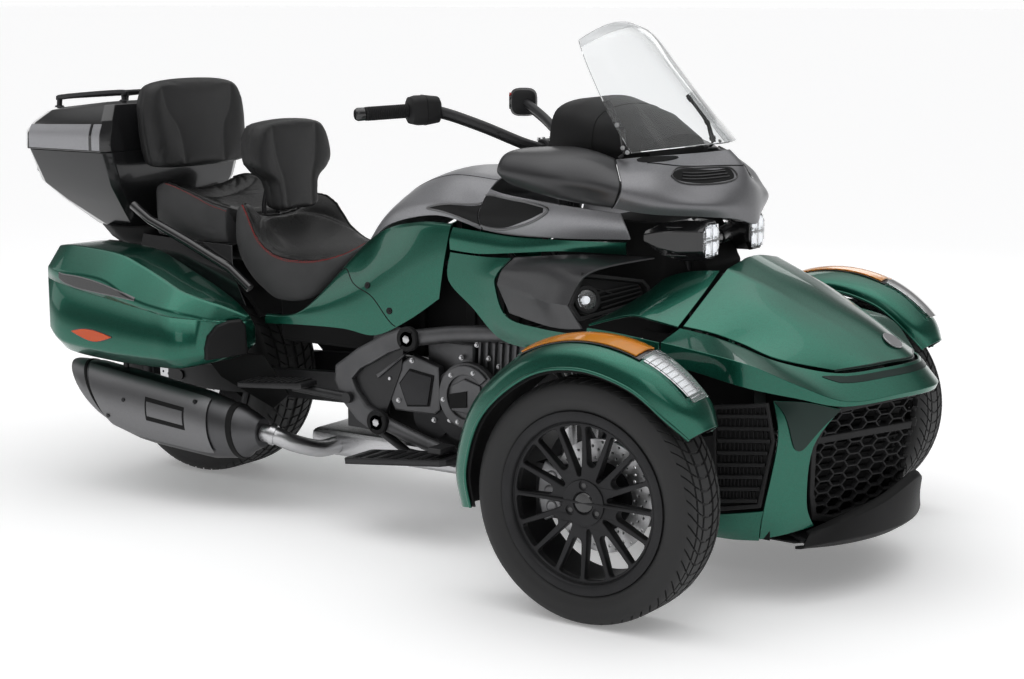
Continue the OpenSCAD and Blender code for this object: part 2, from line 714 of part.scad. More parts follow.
module windshield() {
    color(clear) panel(fine(both_rows([
        [[-152, -252, 1022], [-92, -176, 1030], [-52, -90, 1034], [-30, 0, 1036]],
        [[-218, -238, 1102], [-168, -164, 1114], [-132, -84, 1122], [-112, 0, 1124]],
        [[-286, -216, 1200], [-246, -146, 1214], [-222, -76, 1224], [-208, 0, 1228]],
        [[-326, -200, 1262], [-300, -130, 1284], [-286, -68, 1298], [-280, 0, 1304]],
        [[-350, -194, 1282], [-340, -124, 1306], [-334, -64, 1321], [-330, 0, 1327]]]), 2, 2), shield_t);
}

module windshield_arms() {
    color(black) pair() {
        tube([[-182.6, -229, 1016], [-195.4, -225, 1068], [-249.4, -210, 1140]], 7);
    }
}

module dash() {
    color(black) {
        loft([
            loop([for (p = [[-132, 998], [-120, 1036], [0, 1048], [120, 1036], [132, 998], [0, 988]])
                [-165, p[0], p[1]]], 3),
            loop([for (p = [[-170, 990], [-164, 1080], [0, 1108], [164, 1080], [170, 990], [0, 978]])
                [-255, p[0], p[1]]], 3),
            loop([for (p = [[-180, 990], [-172, 1110], [0, 1142], [172, 1110], [180, 990], [0, 978]])
                [-360, p[0], p[1]]], 3),
            loop([for (p = [[-164, 995], [-156, 1106], [0, 1134], [156, 1106], [164, 995], [0, 984]])
                [-430, p[0], p[1]]], 3),
            loop([for (p = [[-150, 1006], [-140, 1090], [0, 1116], [140, 1090], [150, 1006], [0, 998]])
                [-420, p[0], p[1]]], 3),
            loop([for (p = [[-140, 1012], [-134, 1082], [0, 1106], [134, 1082], [140, 1012], [0, 1004]])
                [-385, p[0], p[1]]], 3)]);
        pair() rod([-330, -150, 985], [-330, -236.5, 985], 7);
    }
}

// Tank cover and side panels

module tank_cover() {
    color(grey) {
        panel(fine(both_rows([
            [[-596, -240, 806], [-598, -252, 852], [-600, -180, 916], [-602, -100, 940], [-604, 0, 946]],
            [[-745, -224, 832], [-750, -222, 866], [-766, -152, 922], [-775, -80, 938], [-780, 0, 944]],
            [[-930, -184, 794], [-935, -166, 828], [-928, -108, 864], [-926, -54, 878], [-925, 0, 882]],
            [[-1040, -140, 718], [-1046, -122, 732], [-1050, -80, 742], [-1052, -40, 746],
                [-1053, 0, 747]]]), 3, 2), panel_t);
        pair() panel(fine([
            [[-150, -258, 812], [-155, -272, 845], [-172, -268, 876]],
            [[-330, -262, 803], [-330, -286, 850], [-332, -282, 889]],
            [[-500, -248, 799], [-500, -268, 845], [-502, -250, 900]],
            [[-590, -242, 806], [-592, -255, 850], [-594, -205, 908]]], 2, 2), panel_t);
    }
}

module side_panels() {
    color(green) pair() {
        panel(fine([
            [[-722, -250, 620], [-700, -258, 720], [-690, -246, 800], [-690, -234, 816]],
            [[-820, -252, 555], [-800, -254, 690], [-800, -232, 790], [-800, -218, 812]],
            [[-930, -250, 505], [-920, -246, 640], [-930, -204, 752], [-932, -192, 782]],
            [[-1040, -246, 512], [-1040, -242, 590], [-1046, -186, 690], [-1050, -164, 712]],
            [[-1190, -240, 508], [-1190, -242, 532], [-1190, -238, 546], [-1190, -226, 550]],
            [[rx(389), -238, 500], [rx(389), -238, 512], [rx(389), -236, 522], [rx(389), -228, 526]]],
            2, 2), panel_t);
        panel(fine([
            [[-684, -248, 752], [-682, -252, 780], [-680, -240, 806]],
            [[-590, -256, 748], [-590, -256, 775], [-590, -244, 800]],
            [[-480, -264, 758], [-480, -262, 775], [-480, -252, 794]],
            [[-330, -262, 774], [-330, -264, 786], [-330, -262, 799]],
            [[-170, -238, 776], [-165, -250, 790], [-160, -256, 806]]], 2, 2), panel_t);
        panel(fine([
            [[-484, -276, 746], [-580, -266, 742], [-684, -252, 744]],
            [[-516, -288, 706], [-590, -272, 690], [-686, -258, 672]],
            [[-520, -292, 672], [-560, -282, 640], [-600, -274, 610]],
            [[-476, -306, 602], [-490, -302, 570], [-500, -292, 540]],
            [[-340, -350, 590], [-344, -350, 560], [-348, -340, 536]],
            [[-206, -400, 596], [-206, -402, 576], [-206, -398, 556]]], 2, 2), panel_t);
    }
}

// The plane of the intake grille from its outer low corner
intake_o = [-205, -404, 624];
intake_u = [96, 190, 78];
intake_v = [-12, 30, 100];

module intake_shrouds() {
    color(grey) pair() {
        panel(fine([
            [[-476, -270, 748], [-502, -290, 714], [-512, -295, 680], [-466, -308, 612]],
            [[-330, -258, 764], [-350, -330, 738], [-372, -352, 668], [-334, -354, 600]],
            [[-222, -232, 768], [-262, -352, 742], [-296, -388, 664], [-256, -384, 602]],
            [[-114, -200, 767], [-201, -360, 742], [-236, -404, 664], [-198, -402, 610]]], 2, 1),
                panel_t);
        difference() {
            plate_at(intake_o, intake_u, intake_v, 8, 14)
                polygon([[4, 4], [206, -34], [216, 0], [208, 22], [66, 104], [0, 46]]);
            plate_at(intake_o, intake_u, intake_v, 80, 40) translate([50, 40]) circle(r = 28);
            plate_at(intake_o, intake_u, intake_v, 80, 40)
                for (k = [0:4]) translate([92, 44 - k * 13]) rotate(-10) square([96 - k * 2, 7]);
        }
    }
}

module fog_lamps() {
    color(clear) pair() plate_at(intake_o, intake_u, intake_v, 30, 34)
        translate([50, 40]) circle(r = 28 - pin_gap);
}

// Seats

// A seat section from the bottom middle round the side to the top middle and on
function seat_ring(x, half) = let (h = [for (p = half) [x, p[0], p[1]]])
    concat(h, [for (i = [len(h) - 2:-1:1]) flip(h[i])]);

module rider_seat() {
    color(leather) loft(turned([for (line = turned([
        seat_ring(rx(645), [[0, 700], [-40, 700], [-92, 706], [-112, 716], [-100, 734], [-50, 740],
            [0, 742]]),
        seat_ring(rx(590), [[0, 668], [-60, 664], [-140, 640], [-160, 660], [-145, 696], [-70, 704],
            [0, 704]]),
        seat_ring(rx(520), [[0, 636], [-90, 632], [-182, 572], [-204, 600], [-186, 672], [-90, 680],
            [0, 676]]),
        seat_ring(rx(420), [[0, 632], [-90, 630], [-196, 560], [-222, 590], [-214, 672], [-100, 682],
            [0, 674]]),
        seat_ring(rx(320), [[0, 640], [-90, 640], [-190, 610], [-216, 640], [-206, 706], [-110, 712],
            [0, 704]]),
        seat_ring(rx(250), [[0, 668], [-90, 668], [-170, 664], [-196, 690], [-186, 768], [-100, 786],
            [0, 786]]),
        seat_ring(rx(228), [[0, 690], [-80, 690], [-150, 690], [-176, 710], [-168, 772], [-90, 790],
            [0, 792]])
        ])) smooth(line, 2)]));
}

module passenger_seat() {
    color(leather) loft(turned([for (line = turned([
        seat_ring(rx(204), [[0, 694], [-80, 694], [-150, 698], [-172, 716], [-160, 772], [-84, 794],
            [0, 800]]),
        seat_ring(rx(150), [[0, 690], [-90, 690], [-170, 696], [-194, 716], [-184, 790], [-96, 818],
            [0, 824]]),
        seat_ring(rx(20), [[0, 690], [-90, 690], [-172, 700], [-198, 722], [-188, 800], [-98, 826],
            [0, 830]]),
        seat_ring(rx(-70), [[0, 690], [-80, 690], [-150, 704], [-176, 724], [-168, 800], [-88, 824],
            [0, 828]])
        ])) smooth(line, 2)]));
}

module rider_backrest() {
    color(leather) loft([
        loop([for (p = [[-66, 832], [0, 822], [66, 832], [132, 950], [128, 1030], [0, 1050], [-128, 1030],
            [-132, 950]]) [rx(284) - (p[1] - 820) * 0.16, p[0], p[1]]], 2),
        loop([for (p = [[-76, 830], [0, 818], [76, 830], [144, 950], [140, 1036], [0, 1058], [-140, 1036],
            [-144, 950]]) [rx(262) - (p[1] - 820) * 0.16, p[0], p[1]]], 2),
        loop([for (p = [[-66, 832], [0, 822], [66, 832], [132, 950], [128, 1030], [0, 1050], [-128, 1030],
            [-132, 950]]) [rx(240) - (p[1] - 820) * 0.16, p[0], p[1]]], 2)]);
}

module backrest_bracket() {
    color(black) pair() tube([[rx(216), -30, 667.5], [rx(216), -30, 800], [rx(227.4), -30, 850],
        [rx(214.7), -30, 930]], 7);
}

module passenger_backrest() {
    color(leather) {
        loft([
            loop([for (p = [[-226, 915], [0, 900], [226, 915], [240, 1030], [215, 1135], [0, 1152],
                [-215, 1135],
                [-240, 1030]]) [rx(-62) - (p[1] - 900) * 0.12 - abs(p[0]) * 0.02, p[0], p[1]]], 2),
            loop([for (p = [[-238, 908], [0, 893], [238, 908], [252, 1030], [226, 1144], [0, 1162],
                [-226, 1144],
                [-252, 1030]]) [rx(-92) - (p[1] - 900) * 0.12, p[0], p[1]]], 2),
            loop([for (p = [[-226, 915], [0, 900], [226, 915], [240, 1030], [215, 1135], [0, 1152],
                [-215, 1135],
                [-240, 1030]]) [rx(-118) - (p[1] - 900) * 0.06, p[0], p[1]]], 2)]);
    }
}

module grab_rails() {
    color(black) pair() {
        tube([[rx(330), -231, 592], [rx(262), -234, 642], [rx(120), -240, 704], [rx(-20), -250, 762],
            [rx(-90), -244, 800]], 13);
    }
}

// Cases

// One ring of a side case at one place along X
function case_ring(d, zl, zh, yi, yo, r) = [for (p = [[yi, zl + 6], [yi - r, zl], [yo + r, zl],
    [yo, zl + r], [yo, zh - r * 1.4], [yo + r * 1.2, zh], [yi - r, zh - 2], [yi, zh - 36]])
    [rx(d), p[0], p[1]]];
function case_rings(t) = [
    case_ring(376 - t, 440 + t, 540 - t, -262 - t, -322 + t, 22),
    case_ring(320, 396 + t, 590 - t, -246 - t, -420 + t, 30),
    case_ring(180, 384 + t, 634 - t, -232 - t, -462 + t, 34),
    case_ring(0, 386 + t, 672 - t, -225 - t, -474 + t, 34),
    case_ring(-160, 398 + t, 698 - t, -224 - t, -472 + t, 34),
    case_ring(-230 + t, 424 + t, 700 - t, -226 - t, -452 + t, 40)];

// The part of a side case below or above the plane where it opens
module case_cut(low) {
    intersection() {
        difference() {
            loft(case_rings(0));
            loft(case_rings(case_t));
        }
        translate([rx(73), 0, 560]) rotate([0, case_lean, 0])
            box(-500, 500, -700, 0, low ? -400 : lid_gap, low ? 0 : 400);
    }
}

module side_cases() {
    color(green) pair() case_cut(true);
}

module case_lid_right() {
    color(green) case_cut(false);
}

module case_lid_left() {
    color(green) mirror([0, 1, 0]) case_cut(false);
}

function top_ring(z, x0, x1, w0, w1, t) = let (a = rx(x0) + t, b = rx(x1) - t, h = w0 - t, g = w1 - t) [
    for (p = [[b, -g + 30], [b, 0], [b, g - 30], [b - 30, g], [(a + b) / 2, (g + h) / 2 + 4], [a + 60, h],
        [a + 10, h - 60], [a, 0], [a + 10, -h + 60], [a + 60, -h], [(a + b) / 2, -(g + h) / 2 - 4],
        [b - 30, -g]]) [p[0], p[1], z]];

module top_case() {
    color(green) loft([
        top_ring(740, -470, -150, 190, 200, 0),
        top_ring(850, -555, -142, 262, 262, 0),
        top_ring(950, -rear_overhang + 8, -140, 300, 292, 0),
        top_ring(950, -rear_overhang + 8, -140, 300, 292, case_t),
        top_ring(850, -555, -142, 262, 262, case_t),
        top_ring(740 + case_t, -470, -150, 190, 200, case_t)]);
}

module top_case_lid() {
    color(green) loft([
        top_ring(1076, -510, -176, 244, 240, case_t),
        top_ring(1000, -rear_overhang + 8, -142, 300, 288, case_t),
        top_ring(950 + lid_gap, -rear_overhang, -140, 304, 292, case_t),
        top_ring(950 + lid_gap, -rear_overhang, -140, 304, 292, 0),
        top_ring(1000, -rear_overhang + 2, -142, 304, 291, 0),
        top_ring(1082, -522, -162, 262, 256, 0),
        top_ring(1092, -500, -186, 236, 232, 0)]);
}

module luggage_rack() {
    color(black) {
        pair() tube([[rx(-205), -150, 1092.3], [rx(-205), -150, 1099], [rx(-218), -150, 1110],
            [rx(-466), -140, 1110], [rx(-481), -140, 1099], [rx(-481), -140, 1092.3]], 8);
        for (d = [-250, -340, -430]) cross_bar(rx(d), 1110, -146, 146, 7);
    }
}

// Exhaust, boards and lamps

module muffler() {
    color(silver) {
        loft([for (s = [[452, -330, 215, 34, 40], [400, -345, 222, 56, 62], [300, -358, 238, 66, 74],
            [100, -378, 268, 70, 78], [-80, -396, 296, 66, 74], [-190, -406, 314, 50, 56]])
            [for (a = [0:30:330]) [rx(s[0]) - (s[0] > 420 ? 0 : s[4] * sin(a) * 0.16),
                s[1] + s[3] * cos(a), s[2] + s[4] * sin(a)]]]);
    }
}

module exhaust_pipes() {
    color(silver) {
        for (k = [-1, 0, 1]) tube(smooth([[-443, k * 120, 448], [-414, k * 119, 420], [-410, k * 112,
            300],
            [-424, k * 96, 206], [-480, k * 70 - 20, 164], [-561.3, k * 56 - 40, 160]], 2), 19);
        box(rx(469), -562, -150, 60, 128, 199.5);
        tube(smooth([[rx(559), -150.5, 160], [rx(557), -220, 164], [rx(529), -290, 188], [rx(496), -330, 213],
            [rx(458), -330, 215]], 2), 24, [0, 0, 1]);
    }
}

module footboards() {
    color(black) pair() {
        difference() {
            translate([-930, -395, 186]) rotate([0, -6, 0]) cube([330, 125, 14]);
            for (k = [0:6]) translate([-905 + k * 42, -385, 192]) rotate([0, -6, 0]) cube([22, 105, 20]);
        }
        rod([-850, -300, 195], [-850, -228.2, 190], 9);
        rod([-690, -300, 207], [-690, -228.6, 182], 9);
        translate([-1345, -345, 334]) rotate([0, -5, 0]) cube([235, 92, 14]);
        rod([-1180, -290, 345], [-1012, -262, 330], 12);
        cross_bar(-1012, 330, -276, -246.5, 15);
    }
}

module tail_lamps() {
    color(red) plate_at([rx(-rear_overhang + 22) - 0.4, 150, 870], [0, -1, 0], [-18, 0, 100], 8)
        square([300, 46]);
}

// Bracket for a blank number plate
module plate_holder() {
    color(black) difference() {
        union() {
            box(rx(-336), rx(-332), -95, 95, 440, 580);
            box(rx(-336), rx(-330), -30, 30, 570, 650.7);
            box(rx(-336), rx(-226), -30, 30, 645, 650.7);
        }
        for (y = [-plate_bolt_y / 2, plate_bolt_y / 2], z = [-plate_bolt_z / 2, plate_bolt_z / 2])
            translate([rx(-350), y, 510 + z]) rotate([0, 90, 0]) cylinder(r = plate_hole_r, h = 40);
    }
}

// Handlebar

function bar_path() = [bar_pivot + [-2, -52, 4], bar_pivot + [-38, -96, 22], bar_pivot + [-118, -150, 62],
    bar_pivot + [-198, -195, 94], bar_pivot + [-239, -222, 103], bar_pivot + [-262, -256, 102]];
grip_end = bar_pivot + [-336, -366, 96];

module handlebar() {
    half = concat([grip_end], back(smooth(bar_path(), 2)), [bar_pivot + [-2, 0, 4]]);
    color(black) {
        difference() {
            union() {
                rod(bar_pivot - 124 * bar_axis, bar_pivot, axle_r);
                rod(bar_pivot - 52 * bar_axis, bar_pivot + 26 * bar_axis, 34);
                cross_bar(-bar_back - 2, bar_z + 4, -52, 52, 24);
            }
            cross_bar(-bar_back - 2, bar_z + 4, -90, 90, 12 + pin_gap);
        }
        loft([for (i = [0:2 * len(half) - 2]) let (p = both(half), n = len(p) - 1,
            core = i == 0 || i == n)
            pipe_ring(p[i], p[min(i + 1, n)] - p[max(i - 1, 0)], core ? 10 : 12, [0, 0, 1])]);
    }
}

module grips() {
    color(black) pair() {
        a = bar_path()[5];
        d = (grip_end - a) / norm(grip_end - a);
        difference() {
            rod(a + 12 * d, grip_end, 18);
            rod(a, grip_end + 20 * d, 12.6);
        }
        rod(grip_end + 0.5 * d, grip_end + 26 * d, 17);
    }
}

module switch_housings() {
    color(black) pair() {
        a = bar_path()[4];
        b = bar_path()[5];
        d = (b - a) / norm(b - a);
        difference() {
            rod(a - 8 * d, b + 8 * d, 27);
            rod(a - 30 * d, b + 30 * d, 15.5);
        }
    }
}

translate([front_axle_x, 0, 0]) {
    frame();
    seat_rails();
    stays();
    engine();
    suspension_arms();
    front_shocks();
    swingarm();
    rear_fender();
    drive_belt();
    nose_body();
    front_grille();
    front_lip();
    side_grilles();
    trunk_tub();
    hood();
    upper_cowl();
    headlights();
    windshield();
    windshield_arms();
    dash();
    tank_cover();
    side_panels();
    intake_shrouds();
    fog_lamps();
    rider_seat();
    passenger_seat();
    rider_backrest();
    backrest_bracket();
    passenger_backrest();
    grab_rails();
    side_cases();
    case_lid_right();
    case_lid_left();
    top_case();
    top_case_lid();
    luggage_rack();
    muffler();
    exhaust_pipes();
    footboards();
    tail_lamps();
    plate_holder();
    handlebar();
    grips();
    switch_housings();
    knuckle_right();
    front_fender_right();
    fender_lamp_right();
    front_rim_right();
    front_tyre_right();
    knuckle_left();
    front_fender_left();
    fender_lamp_left();
    front_rim_left();
    front_tyre_left();
    rear_rim();
    rear_tyre();
}
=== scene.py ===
from math import asin, copysign, cos, hypot, pi, radians, sin

import bmesh
import bpy
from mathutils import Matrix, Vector
from mathutils.bvhtree import BVHTree
from mathutils.kdtree import KDTree


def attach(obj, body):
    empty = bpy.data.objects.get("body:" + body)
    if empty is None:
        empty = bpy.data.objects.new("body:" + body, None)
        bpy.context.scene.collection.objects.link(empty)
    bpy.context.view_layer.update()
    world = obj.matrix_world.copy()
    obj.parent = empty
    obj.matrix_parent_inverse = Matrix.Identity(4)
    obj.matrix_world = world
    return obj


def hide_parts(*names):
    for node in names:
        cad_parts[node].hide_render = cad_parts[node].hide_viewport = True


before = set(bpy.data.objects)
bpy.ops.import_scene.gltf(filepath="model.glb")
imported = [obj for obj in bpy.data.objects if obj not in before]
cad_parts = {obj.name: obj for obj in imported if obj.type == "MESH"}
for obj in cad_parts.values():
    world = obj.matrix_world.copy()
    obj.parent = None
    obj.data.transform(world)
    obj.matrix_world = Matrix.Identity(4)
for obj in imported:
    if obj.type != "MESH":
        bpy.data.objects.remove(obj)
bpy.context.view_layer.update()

scene = bpy.context.scene
frontAxle = 0.880  # metres ahead of the middle of the box
wheelBase = 1709
halfTrack = 654
panelThick = 5
panelEdge = 0.0014  # rounding of the panels, in metres
print("frame loaded,", len(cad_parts), "nodes")


# camera, floor and light

cameraSet = {"place": (3.1006, -4.3662, 1.3908), "target": (0.219, 0.0, 0.483), "lens": 69.63}
stageSet = {
    "floorSize": 400, "floorColor": (0.98, 0.98, 0.985, 1), "floorLift": 0.21,
    "skyStops": [(0.0, 0.99), (0.515, 0.99), (0.57, 0.50), (0.64, 0.16), (0.80, 0.18), (0.87, 0.98),
                 (0.94, 1.38), (1.0, 1.46)],
    "lamps": [  # name, place, target, size, watts
        ("overhead", (0.2, -0.2, 4.6), (0, 0, 0.3), (4.6, 2.6), 16),
        ("keyRight", (2.4, -4.6, 3.6), (0.2, 0, 0.5), (1.6, 2.6), 14),
        ("rimLeft", (-1.5, 4.6, 3.0), (0, 0, 0.6), (3.2, 1.4), 18),
        ("tailFill", (-4.8, -1.8, 2.6), (-0.6, 0, 0.6), (1.8, 1.8), 10),
    ],
}


def makeCamera(s):
    data = bpy.data.cameras.new("photoCamera")
    data.lens = s["lens"]
    data.sensor_width = 36
    cam = bpy.data.objects.new("photoCamera", data)
    cam.location = s["place"]
    aim = Vector(s["target"]) - Vector(s["place"])
    cam.rotation_euler = aim.to_track_quat("-Z", "Y").to_euler()
    scene.collection.objects.link(cam)
    scene.camera = cam


class Sock:  # a socket that can be used in sums
    def __init__(self, look, socket):
        self.look = look
        self.socket = socket

    def calc(self, op, a, b):
        return self.look.node("Math", {"operation": op}, {0: a, 1: b})

    def __add__(self, o):
        return self.calc("ADD", self, o)

    def __radd__(self, o):
        return self.calc("ADD", o, self)

    def __rsub__(self, o):
        return self.calc("SUBTRACT", o, self)

    def __mul__(self, o):
        return self.calc("MULTIPLY", self, o)


class Look:  # one material and its nodes
    def __init__(self, name, block=None):
        self.block = block or bpy.data.materials.new(name)
        self.block.use_nodes = True
        self.tree = self.block.node_tree
        self.tree.nodes.clear()

    def node(self, kind, settings=None, sockets=None, out=0):
        made = self.tree.nodes.new("ShaderNode" + kind)
        for key, value in (settings or {}).items():
            if key == "stops":
                ramp = made.color_ramp.elements
                while len(ramp) < len(value):
                    ramp.new(0.5)
                for step, (place, shade) in zip(ramp, value):
                    step.position = place
                    step.color = shade if hasattr(shade, "__len__") else (shade, shade, shade, 1)
            else:
                setattr(made, key, value)
        for key, value in (sockets or {}).items():
            if isinstance(value, Sock):
                self.tree.links.new(value.socket, made.inputs[key])
            else:
                made.inputs[key].default_value = value
        return Sock(self, made.outputs[out])

    def place(self):
        return self.node("TexCoord", out="Object")

    def noise(self, scale, detail=3, stretch=None):
        at = self.place()
        if stretch:
            at = self.node("Mapping", {}, {"Vector": at, "Scale": stretch})
        return self.node("TexNoise", {}, {"Vector": at, "Scale": scale, "Detail": detail})

    def cells(self, scale, feature="F1", out="Distance"):
        return self.node("TexVoronoi", {"feature": feature}, {"Vector": self.place(), "Scale": scale}, out)

    def ramp(self, value, stops):
        return self.node("ValToRGB", {"stops": stops}, {"Fac": value})

    def mix(self, share, a, b):
        return self.node("Mix", {"data_type": "RGBA"}, {0: share, 6: a, 7: b}, 2)

    def bump(self, height, strength, depth):
        return self.node("Bump", {}, {"Height": height, "Strength": strength, "Distance": depth})

    def end(self, kind, shader):
        last = self.tree.nodes.new("ShaderNodeOutput" + kind)
        self.tree.links.new(shader.socket, last.inputs["Surface"])
        return self.block


def surface(look, **sockets):
    shader = look.node("BsdfPrincipled", {}, {k.replace("_", " "): v for k, v in sockets.items()})
    return look.end("Material", shader)


def color(r, g, b):
    return (r, g, b, 1)


def tone(shade, share, blue):
    return color(shade * share, shade * share, shade * blue)


def makeStage(s):
    world = bpy.data.worlds.new("studio")
    scene.world = world
    sky = Look("studio", world)
    up = sky.node("SeparateXYZ", {}, {0: sky.node("TexCoord", out="Generated")}, "Z")
    shade = sky.ramp(up * 0.5 + 0.5, s["skyStops"])
    sky.end("World", sky.node("Background", {}, {"Color": shade, "Strength": 1.0}))
    half = s["floorSize"] / 2
    mesh = bpy.data.meshes.new("floor")
    mesh.from_pydata([(-half, -half, 0), (half, -half, 0), (half, half, 0), (-half, half, 0)], [],
                     [(0, 1, 2, 3)])
    floor = bpy.data.objects.new("floor", mesh)
    pale = Look("paleFloor")
    mesh.materials.append(surface(pale, Base_Color=s["floorColor"], Roughness=0.85, Specular_IOR_Level=0.1))
    glow = pale.node("Emission", {}, {"Color": (1, 1, 1, 1), "Strength": s["floorLift"]})
    plain = Sock(pale, pale.tree.nodes["Principled BSDF"].outputs[0])
    lifted = pale.node("AddShader", {}, {0: plain, 1: glow})
    ray = pale.tree.nodes.new("ShaderNodeLightPath")  # white to the eye, in metal and in glass alone
    seen = 0.0
    for name in ("Is Camera Ray", "Is Glossy Ray", "Is Transmission Ray"):
        seen = Sock(pale, ray.outputs[name]) + seen
    blend = pale.node("MixShader", {}, {0: seen, 1: plain, 2: lifted})
    pale.tree.links.new(blend.socket, pale.tree.nodes["Material Output"].inputs["Surface"])
    scene.collection.objects.link(floor)
    for name, place, target, size, watts in s["lamps"]:
        lamp = bpy.data.lights.new(name, "AREA")
        lamp.shape = "RECTANGLE"
        lamp.size, lamp.size_y = size
        lamp.energy = watts
        holder = bpy.data.objects.new(name, lamp)
        holder.location = place
        holder.rotation_euler = (Vector(target) - Vector(place)).to_track_quat("-Z", "Y").to_euler()
        scene.collection.objects.link(holder)
    scene.view_settings.view_transform = "Standard"


makeCamera(cameraSet)
makeStage(stageSet)
print("camera and stage ready")


# finishes

def greenPaint():
    k = Look("greenPaint")
    flake = k.cells(1400, out="Color")
    spark = k.node("SeparateColor", {}, {0: flake}, "Red")
    cloud = k.noise(3.0, 2)
    deep = k.mix(cloud, color(0.005, 0.078, 0.050), color(0.0075, 0.098, 0.063))
    base = k.mix(spark * 0.35, deep, color(0.03, 0.23, 0.155))
    peel = k.bump(k.noise(260, 2), 0.02, 0.001)
    return surface(k, Base_Color=base, Metallic=0.88, Roughness=0.27 + spark * 0.06, Coat_Weight=0.65,
                   Coat_Roughness=0.03, Normal=peel)


# a darker copy of the green paint: painted shade in the hood slot and the cheek recess, and the colour of the
# hood's shut line
def shadeAndSeamGreen():
    k = Look("shadeAndSeamGreen")
    base = k.mix(k.noise(12), color(0.002, 0.015, 0.011), color(0.003, 0.021, 0.015))
    return surface(k, Base_Color=base, Metallic=0.6, Roughness=0.42 + k.noise(300) * 0.08, Coat_Weight=0.3,
                   Coat_Roughness=0.1)


def greySatin(name="greySatin", shade=0.19):
    k = Look(name)
    spark = k.node("SeparateColor", {}, {0: k.cells(1600, out="Color")}, "Red")
    base = k.mix(spark, tone(shade, 0.8, 0.84), tone(shade, 1.2, 1.26))
    peel = k.bump(k.noise(400, 2), 0.03, 0.001)
    return surface(k, Base_Color=base, Metallic=0.55, Roughness=0.36 + k.noise(6) * 0.06, Coat_Weight=0.25,
                   Coat_Roughness=0.2, Normal=peel)


def blackGrain(name="blackGrain", shade=0.017, rough=0.46, size=900, deep=0.35):
    k = Look(name)
    grain = k.noise(size, 4)
    wear = k.noise(9, 3)
    base = k.mix(wear, tone(shade, 0.8, 0.84), tone(shade, 1.35, 1.4))
    return surface(k, Base_Color=base, Roughness=rough + grain * 0.12, Specular_IOR_Level=0.22,
                   Normal=k.bump(grain, deep, 0.0006))


def glossy(name, dark, pale, metal, rough, vary, coat, coatRough):
    k = Look(name)
    base = k.mix(k.noise(5), color(*dark), color(*pale))
    return surface(k, Base_Color=base, Metallic=metal, Roughness=rough + k.noise(40) * vary, Coat_Weight=coat,
                   Coat_Roughness=coatRough)


def frameBlack():
    k = Look("frameBlack")
    peel = k.noise(500, 2)
    base = k.mix(k.noise(14, 4), color(0.014, 0.014, 0.015), color(0.026, 0.026, 0.028))
    return surface(k, Base_Color=base, Metallic=0.25, Roughness=0.36 + peel * 0.1,
                   Normal=k.bump(peel, 0.12, 0.001))


def castMetal(name, dark, pale, metal=0.85):
    k = Look(name)
    grit = k.noise(700, 4)
    grime = k.noise(11, 5)
    base = k.mix(grime, color(*dark), color(*pale))
    return surface(k, Base_Color=base, Metallic=metal, Roughness=0.40 + grit * 0.18,
                   Normal=k.bump(grit, 0.3, 0.0008))


def brushedSteel(name, dark, pale, rough):
    k = Look(name)
    lines = k.noise(60, 4, (1, 26, 26))
    base = k.mix(lines, color(*dark), color(*pale))
    return surface(k, Base_Color=base, Metallic=1.0, Roughness=rough + lines * 0.14,
                   Normal=k.bump(lines, 0.05, 0.0005))


def tyreRubber():
    k = Look("tyreRubber")
    dust = k.noise(7, 5)
    grain = k.noise(600, 3)
    base = k.mix(dust, color(0.010, 0.010, 0.0105), color(0.022, 0.022, 0.0225))
    return surface(k, Base_Color=base, Roughness=0.58 + dust * 0.14, Normal=k.bump(grain, 0.25, 0.0006))


def leather(name, shade, grainSize, rough):
    k = Look(name)
    cells = k.cells(grainSize, "DISTANCE_TO_EDGE")
    pores = k.ramp(cells, [(0.0, 0.0), (0.16, 1.0)])
    crease = k.noise(24, 4)
    base = k.mix(crease, tone(shade, 0.7, 0.72), tone(shade, 1.25, 1.28))
    return surface(k, Base_Color=base, Roughness=rough + (1 - pores) * 0.12 + crease * 0.08,
                   Specular_IOR_Level=0.34, Normal=k.bump(pores + crease * 0.6, 0.28, 0.0008))


def thread():
    k = Look("redThread")
    twist = k.noise(900, 2)
    return surface(k, Base_Color=k.mix(twist, color(0.20, 0.008, 0.008), color(0.42, 0.02, 0.018)),
                   Roughness=0.62)


def clearScreen():
    k = Look("clearScreen")
    haze = k.noise(2.2, 2)
    return surface(k, Base_Color=color(0.90, 0.915, 0.92), Roughness=0.015 + haze * 0.02, IOR=1.18,
                   Transmission_Weight=1.0, Coat_Weight=0.3, Coat_Roughness=0.02)


def lens(name, tint, rough, through):
    k = Look(name)
    ribs = k.noise(120, 1)
    return surface(k, Base_Color=tint, Roughness=rough + ribs * 0.05, IOR=1.3, Transmission_Weight=through,
                   Coat_Weight=0.5, Coat_Roughness=0.03)


def glowLamp():
    k = Look("lampGlow")
    ribs = k.noise(160, 1)
    return surface(k, Base_Color=color(0.9, 0.91, 0.93), Roughness=0.25 + ribs * 0.2,
                   Emission_Color=k.mix(ribs, color(0.72, 0.75, 0.80), color(0.95, 0.97, 1.0)),
                   Emission_Strength=0.75)


def frostEdge():
    k = Look("frostEdge")
    haze = k.noise(3, 2)
    return surface(k, Base_Color=k.mix(haze, color(0.78, 0.79, 0.80), color(0.86, 0.87, 0.88)),
                   Roughness=0.30, IOR=1.12, Transmission_Weight=0.55, Alpha=0.45 + haze * 0.15)


def mirrorMetal():
    k = Look("mirrorMetal")
    return surface(k, Base_Color=k.mix(k.noise(30), color(0.78, 0.79, 0.80), color(0.88, 0.89, 0.90)),
                   Metallic=1.0, Roughness=0.08 + k.noise(90) * 0.06)


